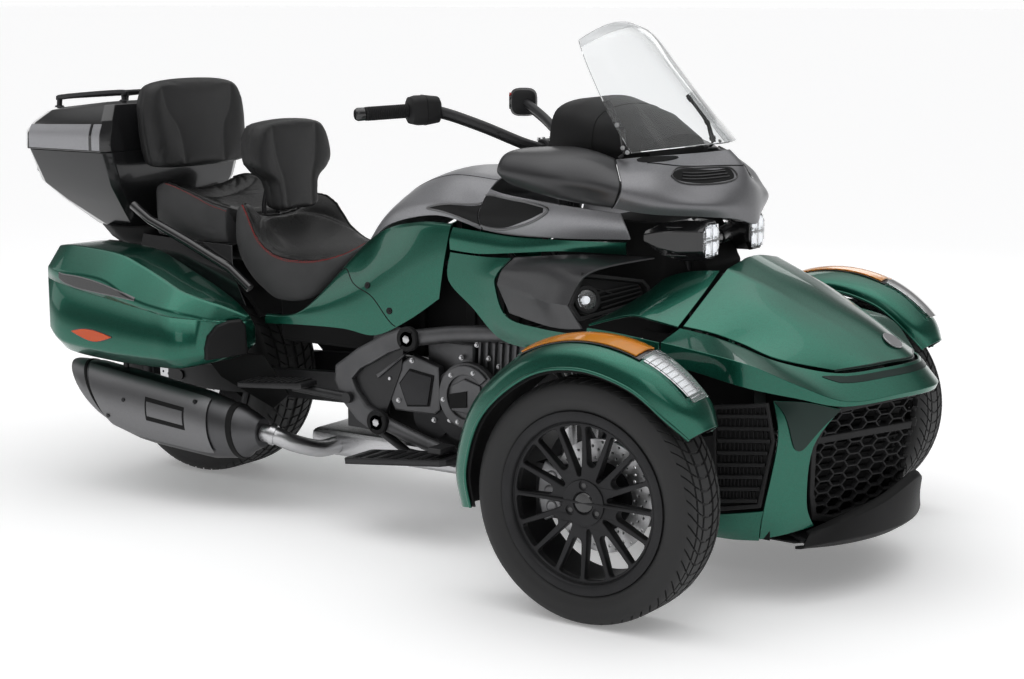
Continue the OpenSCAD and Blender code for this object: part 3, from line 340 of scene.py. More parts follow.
looks = {
    "green": greenPaint(), "shadeAndSeamGreen": shadeAndSeamGreen(), "grey": greySatin(), "grain": blackGrain(),
    "frame": frameBlack(),
    "trim": blackGrain("softTrim", 0.009, 0.50, 1300, 0.25), "tankGrey": greySatin("tankGrey", 0.32),
    "podGrey": greySatin("podGrey", 0.048), "shroudGrey": greySatin("shroudGrey", 0.064),
    "panelGrey": greySatin("panelGrey", 0.34),
    "cast": castMetal("castDark", (0.020, 0.020, 0.021), (0.060, 0.060, 0.063)),
    "alloy": castMetal("castAlloy", (0.30, 0.30, 0.31), (0.46, 0.46, 0.47)),
    "alloyDark": castMetal("alloyDark", (0.075, 0.075, 0.078), (0.16, 0.16, 0.165)),
    "rim": castMetal("rimDark", (0.016, 0.016, 0.017), (0.036, 0.036, 0.038), 0.7),
    "steel": brushedSteel("brushedSteel", (0.42, 0.42, 0.43), (0.66, 0.66, 0.67), 0.22),
    "disc": brushedSteel("discSteel", (0.46, 0.46, 0.47), (0.70, 0.70, 0.71), 0.24),
    "darkSteel": brushedSteel("darkSteel", (0.075, 0.075, 0.078), (0.13, 0.13, 0.135), 0.34),
    "tyre": tyreRubber(), "rubber": blackGrain("gripRubber", 0.014, 0.62, 500, 0.4),
    "leather": leather("seatLeather", 0.006, 420, 0.24), "seat": leather("seatGrey", 0.052, 420, 0.42),
    "backPad": leather("backGrey", 0.022, 420, 0.38),
    "thread": thread(), "screen": clearScreen(),
    "amber": lens("amberLens", color(0.95, 0.36, 0.03), 0.14, 0.35),
    "red": lens("redLens", color(0.50, 0.015, 0.012), 0.10, 0.3),
    "clear": lens("clearLens", color(0.94, 0.95, 0.96), 0.03, 0.94), "mirror": mirrorMetal(),
    "deep": blackGrain("deepBlack", 0.006, 0.60, 700, 0.2),
    "pale": castMetal("paleGrey", (0.17, 0.17, 0.175), (0.23, 0.23, 0.235), 0.5),
    "glow": glowLamp(), "frost": frostEdge(),
    "mid": brushedSteel("midSteel", (0.15, 0.15, 0.155), (0.24, 0.24, 0.245), 0.36),
    "gloss": glossy("blackGloss", (0.010, 0.010, 0.011), (0.016, 0.016, 0.017), 0.0, 0.16, 0.05, 0.6, 0.05),
    "greyGloss": glossy("greyGloss", (0.019, 0.0195, 0.021), (0.030, 0.0305, 0.032), 0.5, 0.22, 0.06, 0.5,
                        0.06),
    "orange": lens("orangeReflector", color(0.80, 0.10, 0.01), 0.12, 0.15),
}
print("finishes ready,", len(looks))

cadLooks = {"engine": "cast", "rear_fender": "grain", "drive_belt": "rubber", "trunk_tub": "grain",
            "grab_rails": "gloss", "plate_holder": "grain"}  # other solids that show are black like the frame


def dressCad(piece, lookName, angle=32):
    piece.data.materials.clear()
    piece.data.materials.append(looks[lookName])
    piece.data.polygons.foreach_set("use_smooth", [True] * len(piece.data.polygons))
    weld = piece.modifiers.new("weld", "WELD")
    weld.merge_threshold = 0.00004
    split = piece.modifiers.new("edges", "EDGE_SPLIT")
    split.split_angle = radians(angle)


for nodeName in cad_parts:
    dressCad(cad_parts[nodeName], cadLooks.get(nodeName, "frame"))


# points and meshes

def mm(p):  # a point as the drawing gives it, in millimetres from the front axle
    return Vector((p[0] / 1000 + frontAxle, p[1] / 1000, p[2] / 1000))


def rx(d):
    return d - wheelBase


def flip(p):
    return (p[0], -p[1], p[2])


def both(row):  # a row from the right edge to the middle, carried on to the left edge
    return list(row) + [flip(p) for p in reversed(row[:-1])]


def whole(net):
    return [both(row) for row in net]


def between(a, b, c, d, t):
    return [q + 0.5 * t * ((r - p) + t * ((2 * p - 5 * q + 4 * r - s) + t * (3 * (q - r) + s - p)))
            for p, q, r, s in zip(a, b, c, d)]


def smooth(points, steps, breaks=()):  # a curve through the points, with corners at breaks
    last = len(points) - 1
    line = []
    for i in range(last):
        before = i if i == 0 or i in breaks else i - 1
        after = i + 1 if i + 1 == last or i + 1 in breaks else i + 2
        for k in range(steps):
            line.append(between(points[before], points[i], points[i + 1], points[after], k / steps))
    return line + [list(points[last])]


def loop(points, steps):
    n = len(points)
    return [between(points[i - 1], points[i], points[(i + 1) % n], points[(i + 2) % n], k / steps)
            for i in range(n) for k in range(steps)]


def turned(net):
    return [list(c) for c in zip(*net)]


def fine(net, along, across, rowBreaks=(), columnBreaks=()):
    wide = [smooth(row, across, columnBreaks) for row in net]
    return turned([smooth(c, along, rowBreaks) for c in turned(wide)])


def facing(net, i, j):
    du = Vector(net[min(i + 1, len(net) - 1)][j]) - Vector(net[max(i - 1, 0)][j])
    dv = Vector(net[i][min(j + 1, len(net[0]) - 1)]) - Vector(net[i][max(j - 1, 0)])
    return dv.cross(du).normalized()


def panel(net, thick):  # a closed sheet below a net of points
    m, n = len(net), len(net[0])
    under = [[Vector(net[i][j]) - thick * facing(net, i, j) for j in range(n)] for i in range(m)]
    points = [mm(p) for row in net for p in row] + [mm(p) for row in under for p in row]
    c = m * n
    faces = []
    for i in range(m - 1):
        for j in range(n - 1):
            a = i * n + j
            faces.append((a, a + 1, a + n + 1, a + n))
            faces.append((c + a, c + a + n, c + a + n + 1, c + a + 1))
    for j in range(n - 1):
        faces.append((j + 1, j, c + j, c + j + 1))
        b = c - n + j
        faces.append((b, b + 1, c + b + 1, c + b))
    for i in range(m - 1):
        a = i * n
        faces.append((a, a + n, c + a + n, c + a))
        b = a + n - 1
        faces.append((b + n, b, c + b, c + b + n))
    return points, faces


def loft(rings, closeEnds=True):
    m, n = len(rings), len(rings[0])
    points = [mm(p) for ring in rings for p in ring]
    faces = [(i * n + j, i * n + (j + 1) % n, (i + 1) * n + (j + 1) % n, (i + 1) * n + j)
             for i in range(m - 1) for j in range(n)]
    if closeEnds:
        faces.append(tuple(range(n - 1, -1, -1)))
        faces.append(tuple((m - 1) * n + j for j in range(n)))
    return points, faces


def tube(path, radius, sides=16):  # a round bar along a path, with closed ends
    spots = [Vector(p) for p in path]
    rings = []
    side = None
    for i, spot in enumerate(spots):
        ahead = (spots[min(i + 1, len(spots) - 1)] - spots[max(i - 1, 0)]).normalized()
        if side is None:
            side = ahead.orthogonal().normalized()
        side = (side - ahead * side.dot(ahead)).normalized()
        up = ahead.cross(side)
        r = radius[i] if hasattr(radius, "__len__") else radius
        rings.append([spot + r * (cos(2 * pi * k / sides) * side + sin(2 * pi * k / sides) * up)
                      for k in range(sides)])
    return loft(rings)


def spindle(start, way, steps, radius, sides):  # a round bar through stations of a line
    return tube([start + way * k for k in steps], radius, sides)


def mirrored(part):
    points, faces = part
    return [Vector((p.x, -p.y, p.z)) for p in points], [tuple(reversed(f)) for f in faces]


def pair(*parts):
    return list(parts) + [mirrored(p) for p in parts]


def meshFrom(name, parts):
    points, faces = [], []
    for morePoints, moreFaces in parts:
        start = len(points)
        points += [tuple(p) for p in morePoints]
        faces += [tuple(start + i for i in f) for f in moreFaces]
    mesh = bpy.data.meshes.new(name)
    mesh.from_pydata(points, [], faces)
    mesh.validate()
    return mesh


def addPiece(name, parts, look, body="chassis", nodes=(), bevel=0.0, angle=30):
    mesh = meshFrom(name, parts)
    mesh.polygons.foreach_set("use_smooth", [True] * len(mesh.polygons))
    mesh.set_sharp_from_angle(angle=radians(angle))
    mesh.materials.append(looks[look])
    piece = bpy.data.objects.new(name, mesh)
    scene.collection.objects.link(piece)
    if bevel:
        edge = piece.modifiers.new("edge", "BEVEL")
        edge.width = bevel
        edge.segments = 2
        edge.limit_method = "ANGLE"
        edge.angle_limit = radians(angle + 8)
    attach(piece, body)
    if nodes:
        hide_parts(*nodes)
    return piece


# painted body

hoodLine = [(40, -352, 628), (105, -330, 614), (172, -305, 592), (262, -290, 562), (372, -206, 533),
            (446, -105, 538), (480, 0, 542)]
noseSet = {
    "shelf": [hoodLine,
              [(30, -424, 604), (130, -416, 590), (247, -400, 568), (335, -330, 520), (414, -230, 474),
               (493, -112, 482), (530, 0, 487)],
              [(30, -428, 560), (130, -420, 540), (245, -404, 515), (332, -334, 490), (406, -236, 462),
               (486, -114, 470), (524, 0, 474)]],
    "cheek": [[(401, -240, 457), (345, -305, 478), (292, -366, 486)],
              [(356, -286, 370), (332, -330, 385), (308, -372, 396)],
              [(345, -290, 240), (312, -335, 235), (277, -374, 230)],
              [(352, -262, 178), (312, -318, 166), (257, -352, 152)]],
    "sill": [[(276, -375, 227), (210, -390, 216), (150, -398, 206)],
             [(262, -362, 180), (200, -376, 172), (148, -384, 168)],
             [(254, -350, 148), (196, -356, 143), (146, -360, 143)]],
    "quarter": [[(36, -150, 740), (36, -225, 696), (34, -350, 630)],
                [(-30, -178, 736), (-28, -262, 696), (-22, -372, 645)],
                [(-80, -208, 720), (-78, -298, 682), (-74, -392, 654)],
                [(-98, -224, 698), (-140, -318, 656), (-178, -404, 624)]],
    "skirt": [[(26, -426, 603), (-80, -424, 614), (-176, -414, 618)],
              [(26, -430, 560), (-80, -430, 570), (-180, -418, 582)]],
}
hoodNet = [[(364, -200, 538), (418, -132, 546), (446, -68, 549), (470, 0, 550)],
           [(260, -284, 567), (322, -170, 592), (348, -86, 609), (370, 0, 614)],
           [(172, -298, 597), (226, -190, 640), (243, -104, 660), (262, 0, 667)],
           [(108, -322, 619), (146, -204, 675), (158, -118, 702), (170, 0, 711)],
           [(44, -344, 632), (48, -216, 702), (50, -136, 744), (52, 0, 762)]]


def noseBody(s):
    shelf = panel(fine(whole(s["shelf"]), 6, 6, (1,)), -panelThick)
    sides = pair(panel(fine(s["cheek"], 6, 6), panelThick), panel(fine(s["sill"], 5, 5), panelThick),
                 panel(fine(s["quarter"], 6, 6), -panelThick), panel(fine(s["skirt"], 4, 6), panelThick))
    addPiece("noseShell", [shelf] + sides, "green", nodes=["nose_body"], bevel=panelEdge,
             angle=38)


def frontHood(net):
    addPiece("hoodShell", [panel(fine(whole(net), 8, 6, (), (2, 4)), panelThick)], "green", "hood", ["hood"],
             panelEdge)


noseBody(noseSet)
frontHood(hoodNet)

cowlRibs = [[(-163, -318, 893), (-142, -327, 920), (-140, -318, 948), (-172, -280, 982), (-205, -236, 1002)],
            [(-90, -270, 878), (-72, -276, 905), (-80, -262, 942), (-118, -222, 984), (-152, -190, 1008)],
            [(-9, -170, 868), (4, -172, 898), (-36, -166, 932), (-72, -140, 977), (-110, -122, 1010)],
            [(34, -70, 856), (38, -72, 890), (20, -68, 932), (-24, -62, 977), (-60, -56, 1014)],
            [(56, 0, 839), (51, 0, 884), (38, 0, 932), (18, 0, 980), (-22, 0, 1019)]]
cowlNet = turned(whole(turned(cowlRibs)))
podRings = [[(-167, -312, 893), (-148, -321, 920), (-146, -312, 948), (-178, -275, 984), (-211, -233, 1004),
             (-226, -228, 960), (-205, -268, 912)],
            [(-230, -324, 898), (-228, -350, 924), (-224, -364, 960), (-236, -322, 1004), (-256, -244, 1020),
             (-260, -232, 966), (-246, -270, 914)],
            [(-318, -330, 910), (-316, -374, 930), (-312, -395, 966), (-316, -352, 1012), (-326, -252, 1029),
             (-330, -238, 975), (-322, -272, 925)],
            [(-436, -322, 934), (-440, -354, 946), (-442, -384, 972), (-444, -348, 1012), (-446, -262, 1020),
             (-446, -250, 985), (-440, -276, 950)],
            [(-450, -322, 944), (-453, -346, 954), (-455, -368, 974), (-456, -342, 1002), (-458, -276, 1008),
             (-458, -266, 984), (-452, -286, 956)]]


def upperCowl():
    cowl = panel(fine(cowlNet, 6, 6), -panelThick)
    rings = turned([smooth(line, 5) for line in turned(podRings)])
    pod = loft([loop(ring, 5) for ring in rings])
    addPiece("cowlShell", [cowl], "grey", nodes=["upper_cowl"], bevel=panelEdge, angle=38)
    addPiece("cowlPods", pair(pod), "podGrey", bevel=panelEdge, angle=38)


upperCowl()

tankNet = [[(-596, -240, 806), (-598, -252, 852), (-600, -180, 916), (-602, -100, 940), (-604, 0, 946)],
           [(-745, -224, 832), (-750, -222, 866), (-766, -152, 922), (-775, -80, 938), (-780, 0, 944)],
           [(-930, -184, 794), (-935, -166, 828), (-928, -108, 864), (-926, -54, 878), (-925, 0, 882)],
           [(-1040, -140, 718), (-1046, -122, 732), (-1050, -80, 742), (-1052, -40, 746), (-1053, 0, 747)]]
tankWing = [[(-150, -258, 812), (-155, -272, 845), (-172, -268, 876)],
            [(-330, -262, 803), (-330, -286, 850), (-332, -282, 889)],
            [(-500, -248, 799), (-500, -268, 845), (-502, -250, 900)],
            [(-590, -242, 806), (-592, -255, 850), (-594, -205, 908)]]
sideNets = {
    "flank": [[(-722, -250, 620), (-700, -258, 720), (-690, -246, 800), (-690, -234, 816)],
              [(-820, -252, 555), (-800, -254, 690), (-800, -232, 790), (-800, -218, 812)],
              [(-930, -250, 505), (-920, -246, 640), (-930, -204, 752), (-932, -192, 782)],
              [(-1040, -246, 512), (-1040, -242, 590), (-1046, -186, 690), (-1050, -164, 712)],
              [(-1190, -240, 508), (-1190, -242, 532), (-1190, -238, 546), (-1190, -226, 550)],
              [(-1320, -238, 500), (-1320, -238, 512), (-1320, -236, 522), (-1320, -228, 526)]],
    "strip": [[(-684, -248, 752), (-682, -252, 780), (-680, -240, 806)],
              [(-590, -256, 748), (-590, -256, 775), (-590, -244, 800)],
              [(-480, -264, 758), (-480, -262, 775), (-480, -252, 794)],
              [(-330, -262, 774), (-330, -264, 786), (-330, -262, 799)],
              [(-170, -238, 776), (-165, -250, 790), (-160, -256, 806)]],
    "brace": [[(-484, -276, 746), (-580, -266, 742), (-684, -252, 744)],
              [(-516, -288, 706), (-590, -272, 690), (-686, -258, 672)],
              [(-520, -292, 672), (-560, -282, 640), (-600, -274, 610)],
              [(-476, -306, 602), (-490, -302, 570), (-500, -292, 540)],
              [(-340, -350, 590), (-344, -350, 560), (-348, -340, 536)],
              [(-206, -400, 596), (-206, -402, 576), (-206, -398, 556)]],
}
shroudNet = [[(-476, -270, 748), (-502, -290, 714), (-512, -295, 680), (-466, -308, 612)],
             [(-330, -258, 764), (-350, -330, 738), (-372, -352, 668), (-334, -354, 600)],
             [(-222, -232, 768), (-262, -352, 742), (-296, -388, 664), (-256, -384, 602)],
             [(-114, -200, 767), (-201, -360, 742), (-236, -404, 664), (-198, -402, 610)]]


def tankAndSides():
    tank = [panel(fine(whole(tankNet), 8, 6), panelThick)] + pair(panel(fine(tankWing, 7, 6), panelThick))
    addPiece("tankShell", tank, "tankGrey", nodes=["tank_cover"], bevel=panelEdge,
             angle=38)
    parts = []
    for net in sideNets.values():
        parts += pair(panel(fine(net, 6, 6), panelThick))
    addPiece("sideShells", parts, "green", nodes=["side_panels"], bevel=panelEdge,
             angle=38)


tankAndSides()
print("painted body ready")


# turned and cut pieces

def around(centre, r, a, y):  # a point at an angle about an axle
    return (centre[0] + r * cos(a), centre[1] + y, centre[2] + r * sin(a))


def ringFaces(steps, n):  # the faces of a net that closes both ways
    return [(k * n + i, k * n + (i + 1) % n, (k + 1) % steps * n + (i + 1) % n, (k + 1) % steps * n + i)
            for k in range(steps) for i in range(n)]


def turn(profile, steps, centre):  # a section of (radius, side) turned about an axle
    points = [mm(around(centre, r, 2 * pi * k / steps, y)) for k in range(steps) for r, y in profile]
    return points, ringFaces(steps, len(profile))


def cutPlate(outline, thick, bevel, at, holes=()):  # a flat plate with holes, put in place by at(x, y, z)
    curve = bpy.data.curves.new("plate", "CURVE")
    curve.dimensions = "2D"
    curve.fill_mode = "BOTH"
    curve.extrude = thick / 2 - bevel
    curve.bevel_depth = bevel
    curve.bevel_resolution = 1
    curve.offset = -bevel
    for ring in [outline] + list(holes):
        spline = curve.splines.new("POLY")
        spline.points.add(len(ring) - 1)
        for spot, (x, y) in zip(spline.points, ring):
            spot.co = (x, y, 0, 1)
        spline.use_cyclic_u = True
    holder = bpy.data.objects.new("plate", curve)
    scene.collection.objects.link(holder)
    bpy.context.view_layer.update()
    mesh = bpy.data.meshes.new_from_object(holder.evaluated_get(bpy.context.evaluated_depsgraph_get()))
    points = [mm(at(*v.co)) for v in mesh.vertices]
    faces = [tuple(p.vertices) for p in mesh.polygons]
    bpy.data.objects.remove(holder)
    bpy.data.curves.remove(curve)
    bpy.data.meshes.remove(mesh)
    return points, faces


def ringOf(x, y, r, n):
    return [(x + r * cos(2 * pi * k / n), y + r * sin(2 * pi * k / n)) for k in range(n)]


def rect(x0, x1, y0, y1):
    return [(x0, y0), (x1, y0), (x1, y1), (x0, y1)]


def ray(x, y, near, far, w, a):  # a narrow bar that points away from a centre
    c, s = cos(a), sin(a)
    return [(x + near * c - w * s, y + near * s + w * c), (x + far * c - w * s, y + far * s + w * c),
            (x + far * c + w * s, y + far * s - w * c), (x + near * c + w * s, y + near * s - w * c)]


def raised(at, d):  # the same plane, moved along its facing
    return lambda x, y, z: at(x, y, z + d)


def onPlane(origin, u, v):  # a plane drawn along two directions, as in the drawing
    o, a = Vector(origin), Vector(u).normalized()
    w = a.cross(Vector(v)).normalized()
    b = w.cross(a)
    return lambda x, y, z: tuple(o + a * x + b * y + w * z)


def sideOn(face):  # a plate drawn in X and Z on the right side; depth goes outward
    return lambda x, z, d: (x, face - d, z)


def block(x0, x1, y0, y1, z0, z1):
    corners = [(x, y, z) for x in (x0, x1) for y in (y0, y1) for z in (z0, z1)]
    faces = [(0, 1, 3, 2), (4, 6, 7, 5), (0, 4, 5, 1), (2, 3, 7, 6), (0, 2, 6, 4), (1, 5, 7, 3)]
    return [mm(p) for p in corners], faces


def boltHead(at, out, r, high):  # a hexagon head on a washer
    out = Vector(out).normalized()
    at = Vector(at)
    washer = tube([at, at + out * high * 0.3], r * 1.35, 20)
    head = tube([at + out * high * 0.3, at + out * high * 0.92, at + out * high], [r, r, r * 0.86], 6)
    return [washer, head]


def sideBolt(x, y, z, r, high):
    return boltHead((x, y, z), (0, -1, 0), r, high)


# wheels

wheelSet = {
    "front": {"r": 281, "w": 165, "rim": 150, "pitches": 62, "grooves": [(50, 44), (25, 17)]},
    "rear": {"r": 303, "w": 225, "rim": 208, "pitches": 60, "grooves": [(78, 70), (42, 33), (9, 0)]},
    "bead": 190.5, "flange": 17, "spokes": 16, "grooveDeep": 6.0, "sipeDeep": 5.0,
    "step": [(0.0, 0), (0.80, 0), (0.83, 1), (0.97, 1)],
}


def tyreSection(s, bead, flange):
    b, f = bead + 0.5, bead + flange + 3
    h = s["rim"] / 2 - 7.5
    m = f + (s["r"] - f) * 0.42
    rise = s["w"] / 2 - h - 3
    wall = [(f + (m - f) * k / 8, h + 3 + rise * sin(radians(k * 11.25))) for k in range(8)]
    low = [(b, h), (f - 2, h)] + wall
    high = []
    for k in range(49):
        a = radians(k * 1.75)
        high.append((m + (s["r"] - m) * sin(a) ** 0.75, s["w"] / 2 * cos(a) ** 0.36))
    return low, high + [(s["r"], 0.0)]


def tyre(s, centre):
    low, high = tyreSection(s, wheelSet["bead"], wheelSet["flange"])

    def crown(y):
        for (r0, y0), (r1, y1) in zip(high, high[1:]):
            if y1 <= y <= y0:
                return r0 + (r1 - r0) * (y0 - y) / max(y0 - y1, 1e-6)
        return s["r"]

    edge = s["w"] / 2 * 0.9  # where the tread begins
    side = [(r, y, 0) for r, y in low] + [(r, y, 0) for r, y in high if y > edge + 1.5][::3]
    rows = side + [(crown(edge), edge, 0)]
    mark = edge - 1.2
    for near, far in s["grooves"]:
        spans = max(2, int((mark - near) / 7))
        for k in range(spans + 1):
            y = mark + (near + 0.5 - mark) * k / spans
            rows.append((crown(y), y, 1))
        rows += [(crown(near) - wheelSet["grooveDeep"], near, 0),
                 (crown(far) - wheelSet["grooveDeep"], far, 0)]
        mark = far - 0.5
    if mark > 0:
        rows += [(crown(mark), mark, 1), (crown(mark / 2), mark / 2, 0.5), (crown(0), 0.0, 0)]
        back = rows[-2::-1]
    else:
        rows.pop()
        back = rows[::-1]
    rows = rows + [(r, -y, cut) for r, y, cut in back]
    pitch = 2 * pi / s["pitches"]
    points = []
    for k in range(s["pitches"]):
        for share, deep in wheelSet["step"]:
            for r, y, cut in rows:
                lead = 1.35 * min(abs(y), edge) / edge
                a = pitch * (k + share + lead * lead)
                at = r - cut * deep * wheelSet["sipeDeep"]
                points.append(mm(around(centre, at, a, y)))
    return points, ringFaces(len(wheelSet["step"]) * s["pitches"], len(rows))


def rimBarrel(width, centre):
    b, f, h = wheelSet["bead"], wheelSet["flange"], width / 2
    section = [(b, -h + 7), (b + f, -h + 7), (b + f + 2, -h + 4), (b + f + 1, -h + 0.5), (b + f - 3, -h),
               (b - 1, -h), (b - 5, -h + 3), (b - 7, -h + 11), (b - 12, -h + 14), (b - 12, h - 14),
               (b - 7, h - 11), (b - 5, h - 3), (b - 1, h), (b + f - 3, h), (b + f + 1, h - 0.5),
               (b + f + 2, h - 4), (b + f, h - 7), (b, h - 7)]
    return turn(section, 128, centre)


def spokeWindow(middle, gap, r0, r1):  # an opening with a round foot between two spokes
    def half(r):
        wide = 7.6 - 2.6 * (r - 60) / 118
        return gap / 2 - asin(wide / r)

    edge = [(r0 + (r1 - 7 - r0) * k / 10) for k in range(11)]
    right = [(r, -half(r)) for r in edge] + [(r1 - 2, -half(r1) * 0.92), (r1, -half(r1) * 0.7), (r1, 0)]
    right += [(r, -a) for r, a in reversed(right[:-1])]
    ring = [(r * cos(middle + a), r * sin(middle + a)) for r, a in right]
    wide = r0 * sin(half(r0))
    foot = []
    for k in range(1, 8):
        t = pi * k / 8
        x, y = r0 * cos(half(r0)) - wide * sin(t), wide * cos(t)
        foot.append((x * cos(middle) - y * sin(middle), x * sin(middle) + y * cos(middle)))
    return ring + foot


def discHoles(radii, size, twist):
    spots = [(r, (k + row * twist) * 2 * pi / 18) for row, r in enumerate(radii) for k in range(18)]
    return [ringOf(r * cos(a), r * sin(a), size, 10) for r, a in spots]


def frontWheel(side, flat, centre):  # flat is 1 on the right, where the outer face looks to -Y
    body = "front_wheel_" + side.lower()
    gap = 2 * pi / wheelSet["spokes"]
    windows = []
    for k in range(wheelSet["spokes"] // 2):
        windows.append(spokeWindow((2 * k + 0.5) * gap, gap, 66, 176))
        windows.append(spokeWindow((2 * k + 1.5) * gap, gap, 98, 176))
    lugs = [pi / 2 + k * 2 * pi / 3 for k in range(3)]

    def dish(x, y, z):
        r = hypot(x, y)
        out = -45 - z * (0.62 + 0.38 * min(1, 60 / max(r, 1))) - 9 * max(0, (r - 60) / 120) ** 2
        return (centre[0] + x, centre[1] + flat * out, centre[2] + y)

    def hub(x, y, z):
        return (centre[0] + x, centre[1] + flat * (-52 - z), centre[2] + y)

    rim = [rimBarrel(wheelSet["front"]["rim"], centre),
           cutPlate(ringOf(0, 0, 182, 128), 28, 2.4, dish, windows),
           cutPlate(ringOf(0, 0, 53, 64), 20, 2.0, hub,
                    [ringOf(40 * cos(a), 40 * sin(a), 10.5, 20) for a in lugs] + [ringOf(0, 0, 26, 40)]),
           turn([(0.1, flat * -40), (48, flat * -40), (48, flat * 50), (0.1, flat * 50)], 40, centre)]
    rim.append(turn([(r, flat * y) for r, y in [(20, 14), (79, 14), (79, 23), (20, 23)]], 48, centre))
    addPiece("frontRim" + side, rim, "rim", body, ["front_rim_" + side.lower()], 0.0006, 40)
    profile = [(0.1, -64), (12, -63.4), (21, -61.6), (25, -58), (25, -45), (0.1, -45)]
    cap = turn([(r, flat * y) for r, y in profile], 48, centre)
    bolts = []
    for a in lugs:
        bolts += boltHead(around(centre, 40, a, -flat * 46), (0, -flat, 0), 7.2, 13)
    addPiece("hubCap" + side, [cap] + bolts, "gloss", body, bevel=0.0004)
    holes = discHoles((88, 97, 106, 115, 124), 3.2, 0.36) + [ringOf(0, 0, 80, 64)]
    plate = cutPlate(ringOf(0, 0, 131, 96), 6, 0.5,
                     lambda x, y, z: (centre[0] + x, centre[1] + flat * (20 + z), centre[2] + y), holes)
    addPiece("brakeDisc" + side, [plate], "disc", body)
    addPiece("frontTyre" + side, [tyre(wheelSet["front"], centre)], "tyre", body,
             ["front_tyre_" + side.lower()], angle=34)


def sector(centre, r0, r1, a0, a1, y0, y1, steps=14):  # a block bent round an axle
    rings = []
    for k in range(steps + 1):
        a = radians(a0 + (a1 - a0) * k / steps)
        rings.append([around(centre, r, a, y) for r, y in rect(r0, r1, y0, y1)])
    return loft(rings)


def caliper(side, flat, centre):
    s = [sector(centre, 92, 150, 152, 208, *sorted((flat * -12, flat * 13))),
         sector(centre, 90, 146, 150, 210, *sorted((flat * 27, flat * 59))),
         sector(centre, 136, 156, 154, 206, *sorted((flat * 9, flat * 31)))]
    for a in (163, 180, 197):
        at = around(centre, 118, radians(a), -flat * 8)
        s.append(tube([at, (at[0], at[1] - flat * 7, at[2])], [17, 14], 28))
    addPiece("caliper" + side, s, "alloy", "knuckle_" + side.lower(), bevel=0.003, angle=34)


def rearWheel():
    centre = (rx(0), 0, wheelSet["rear"]["r"])
    windows = []
    for k in range(7):
        a = k * 2 * pi / 7
        shape = [(72, -16), (120, -36), (160, -56), (170, -50), (175, 0), (170, 50), (160, 56), (120, 36),
                 (72, 16)]
        windows.append([(x * cos(a) - y * sin(a), x * sin(a) + y * cos(a)) for x, y in shape])
    face = cutPlate(ringOf(0, 0, 182, 120), 34, 3.0, lambda x, y, z: (centre[0] + x, -17 + z, centre[2] + y),
                    windows)
    hub = turn([(14.4, -128), (40, -128), (44, -122), (44, 125), (40, 131), (14.4, 131)], 48, centre)
    pulley = turn([(60, 100), (92, 100), (92, 132.5), (60, 132.5)], 96, centre)
    addPiece("rearRim", [rimBarrel(wheelSet["rear"]["rim"], centre), face, hub, pulley], "rim", "rear_wheel",
             ["rear_rim"], 0.0008, 40)
    holes = discHoles((78, 88, 98, 108), 3.4, 0.4) + [ringOf(0, 0, 66, 48)]
    plate = cutPlate(ringOf(0, 0, 120, 96), 6, 0.5,
                     lambda x, y, z: (centre[0] + x, -121 + z, centre[2] + y), holes)
    carrier = turn([(40, -123), (68, -123), (68, -116), (40, -116)], 48, centre)
    addPiece("rearDisc", [plate, carrier], "disc", "rear_wheel")
    addPiece("rearTyre", [tyre(wheelSet["rear"], centre)], "tyre", "rear_wheel", ["rear_tyre"], angle=34)


# front fenders with their lamps

fenderSet = {"r": 281, "w": 93.5,
             "rows": [(190, 0, 0.72), (172, 0, 0.9), (145, 0, 1), (115, 0, 1), (90, 0, 1), (65, 0, 1),
                      (45, 4, 0.84), (34, 6, 0.5)]}


def fenderRow(s, a, up, slim, lower=0.0):
    row = []
    for y, rise in [(1.02, 40 - up), (0.92, 62), (0.5, 80), (0, 88), (-0.55, 78), (-0.86, 58), (-1, 26 - up)]:
        r = s["r"] + 28 + (rise - 28) * (0.4 + 0.6 * slim) - lower
        t = radians(a)
        tuck = lower * 0.8 if y < 0 else -lower * 0.8 * (y > 0)
        row.append((r * cos(t), y * s["w"] * slim + 8 * (1 - slim) + tuck, r * sin(t)))
    return row


def lampRow(a, lift, inset=0.0):
    row = []
    for y, rise in [(28 - inset, 84.5), (-6, 88), (-50 + inset, 79.5)]:
        r = fenderSet["r"] + rise + lift
        t = radians(a)
        row.append((r * cos(t), y, r * sin(t)))
    return row


def moved(net, centre, flat):
    return [[(p[0] + centre[0], centre[1] + flat * p[1], p[2] + centre[2]) for p in row] for row in net]


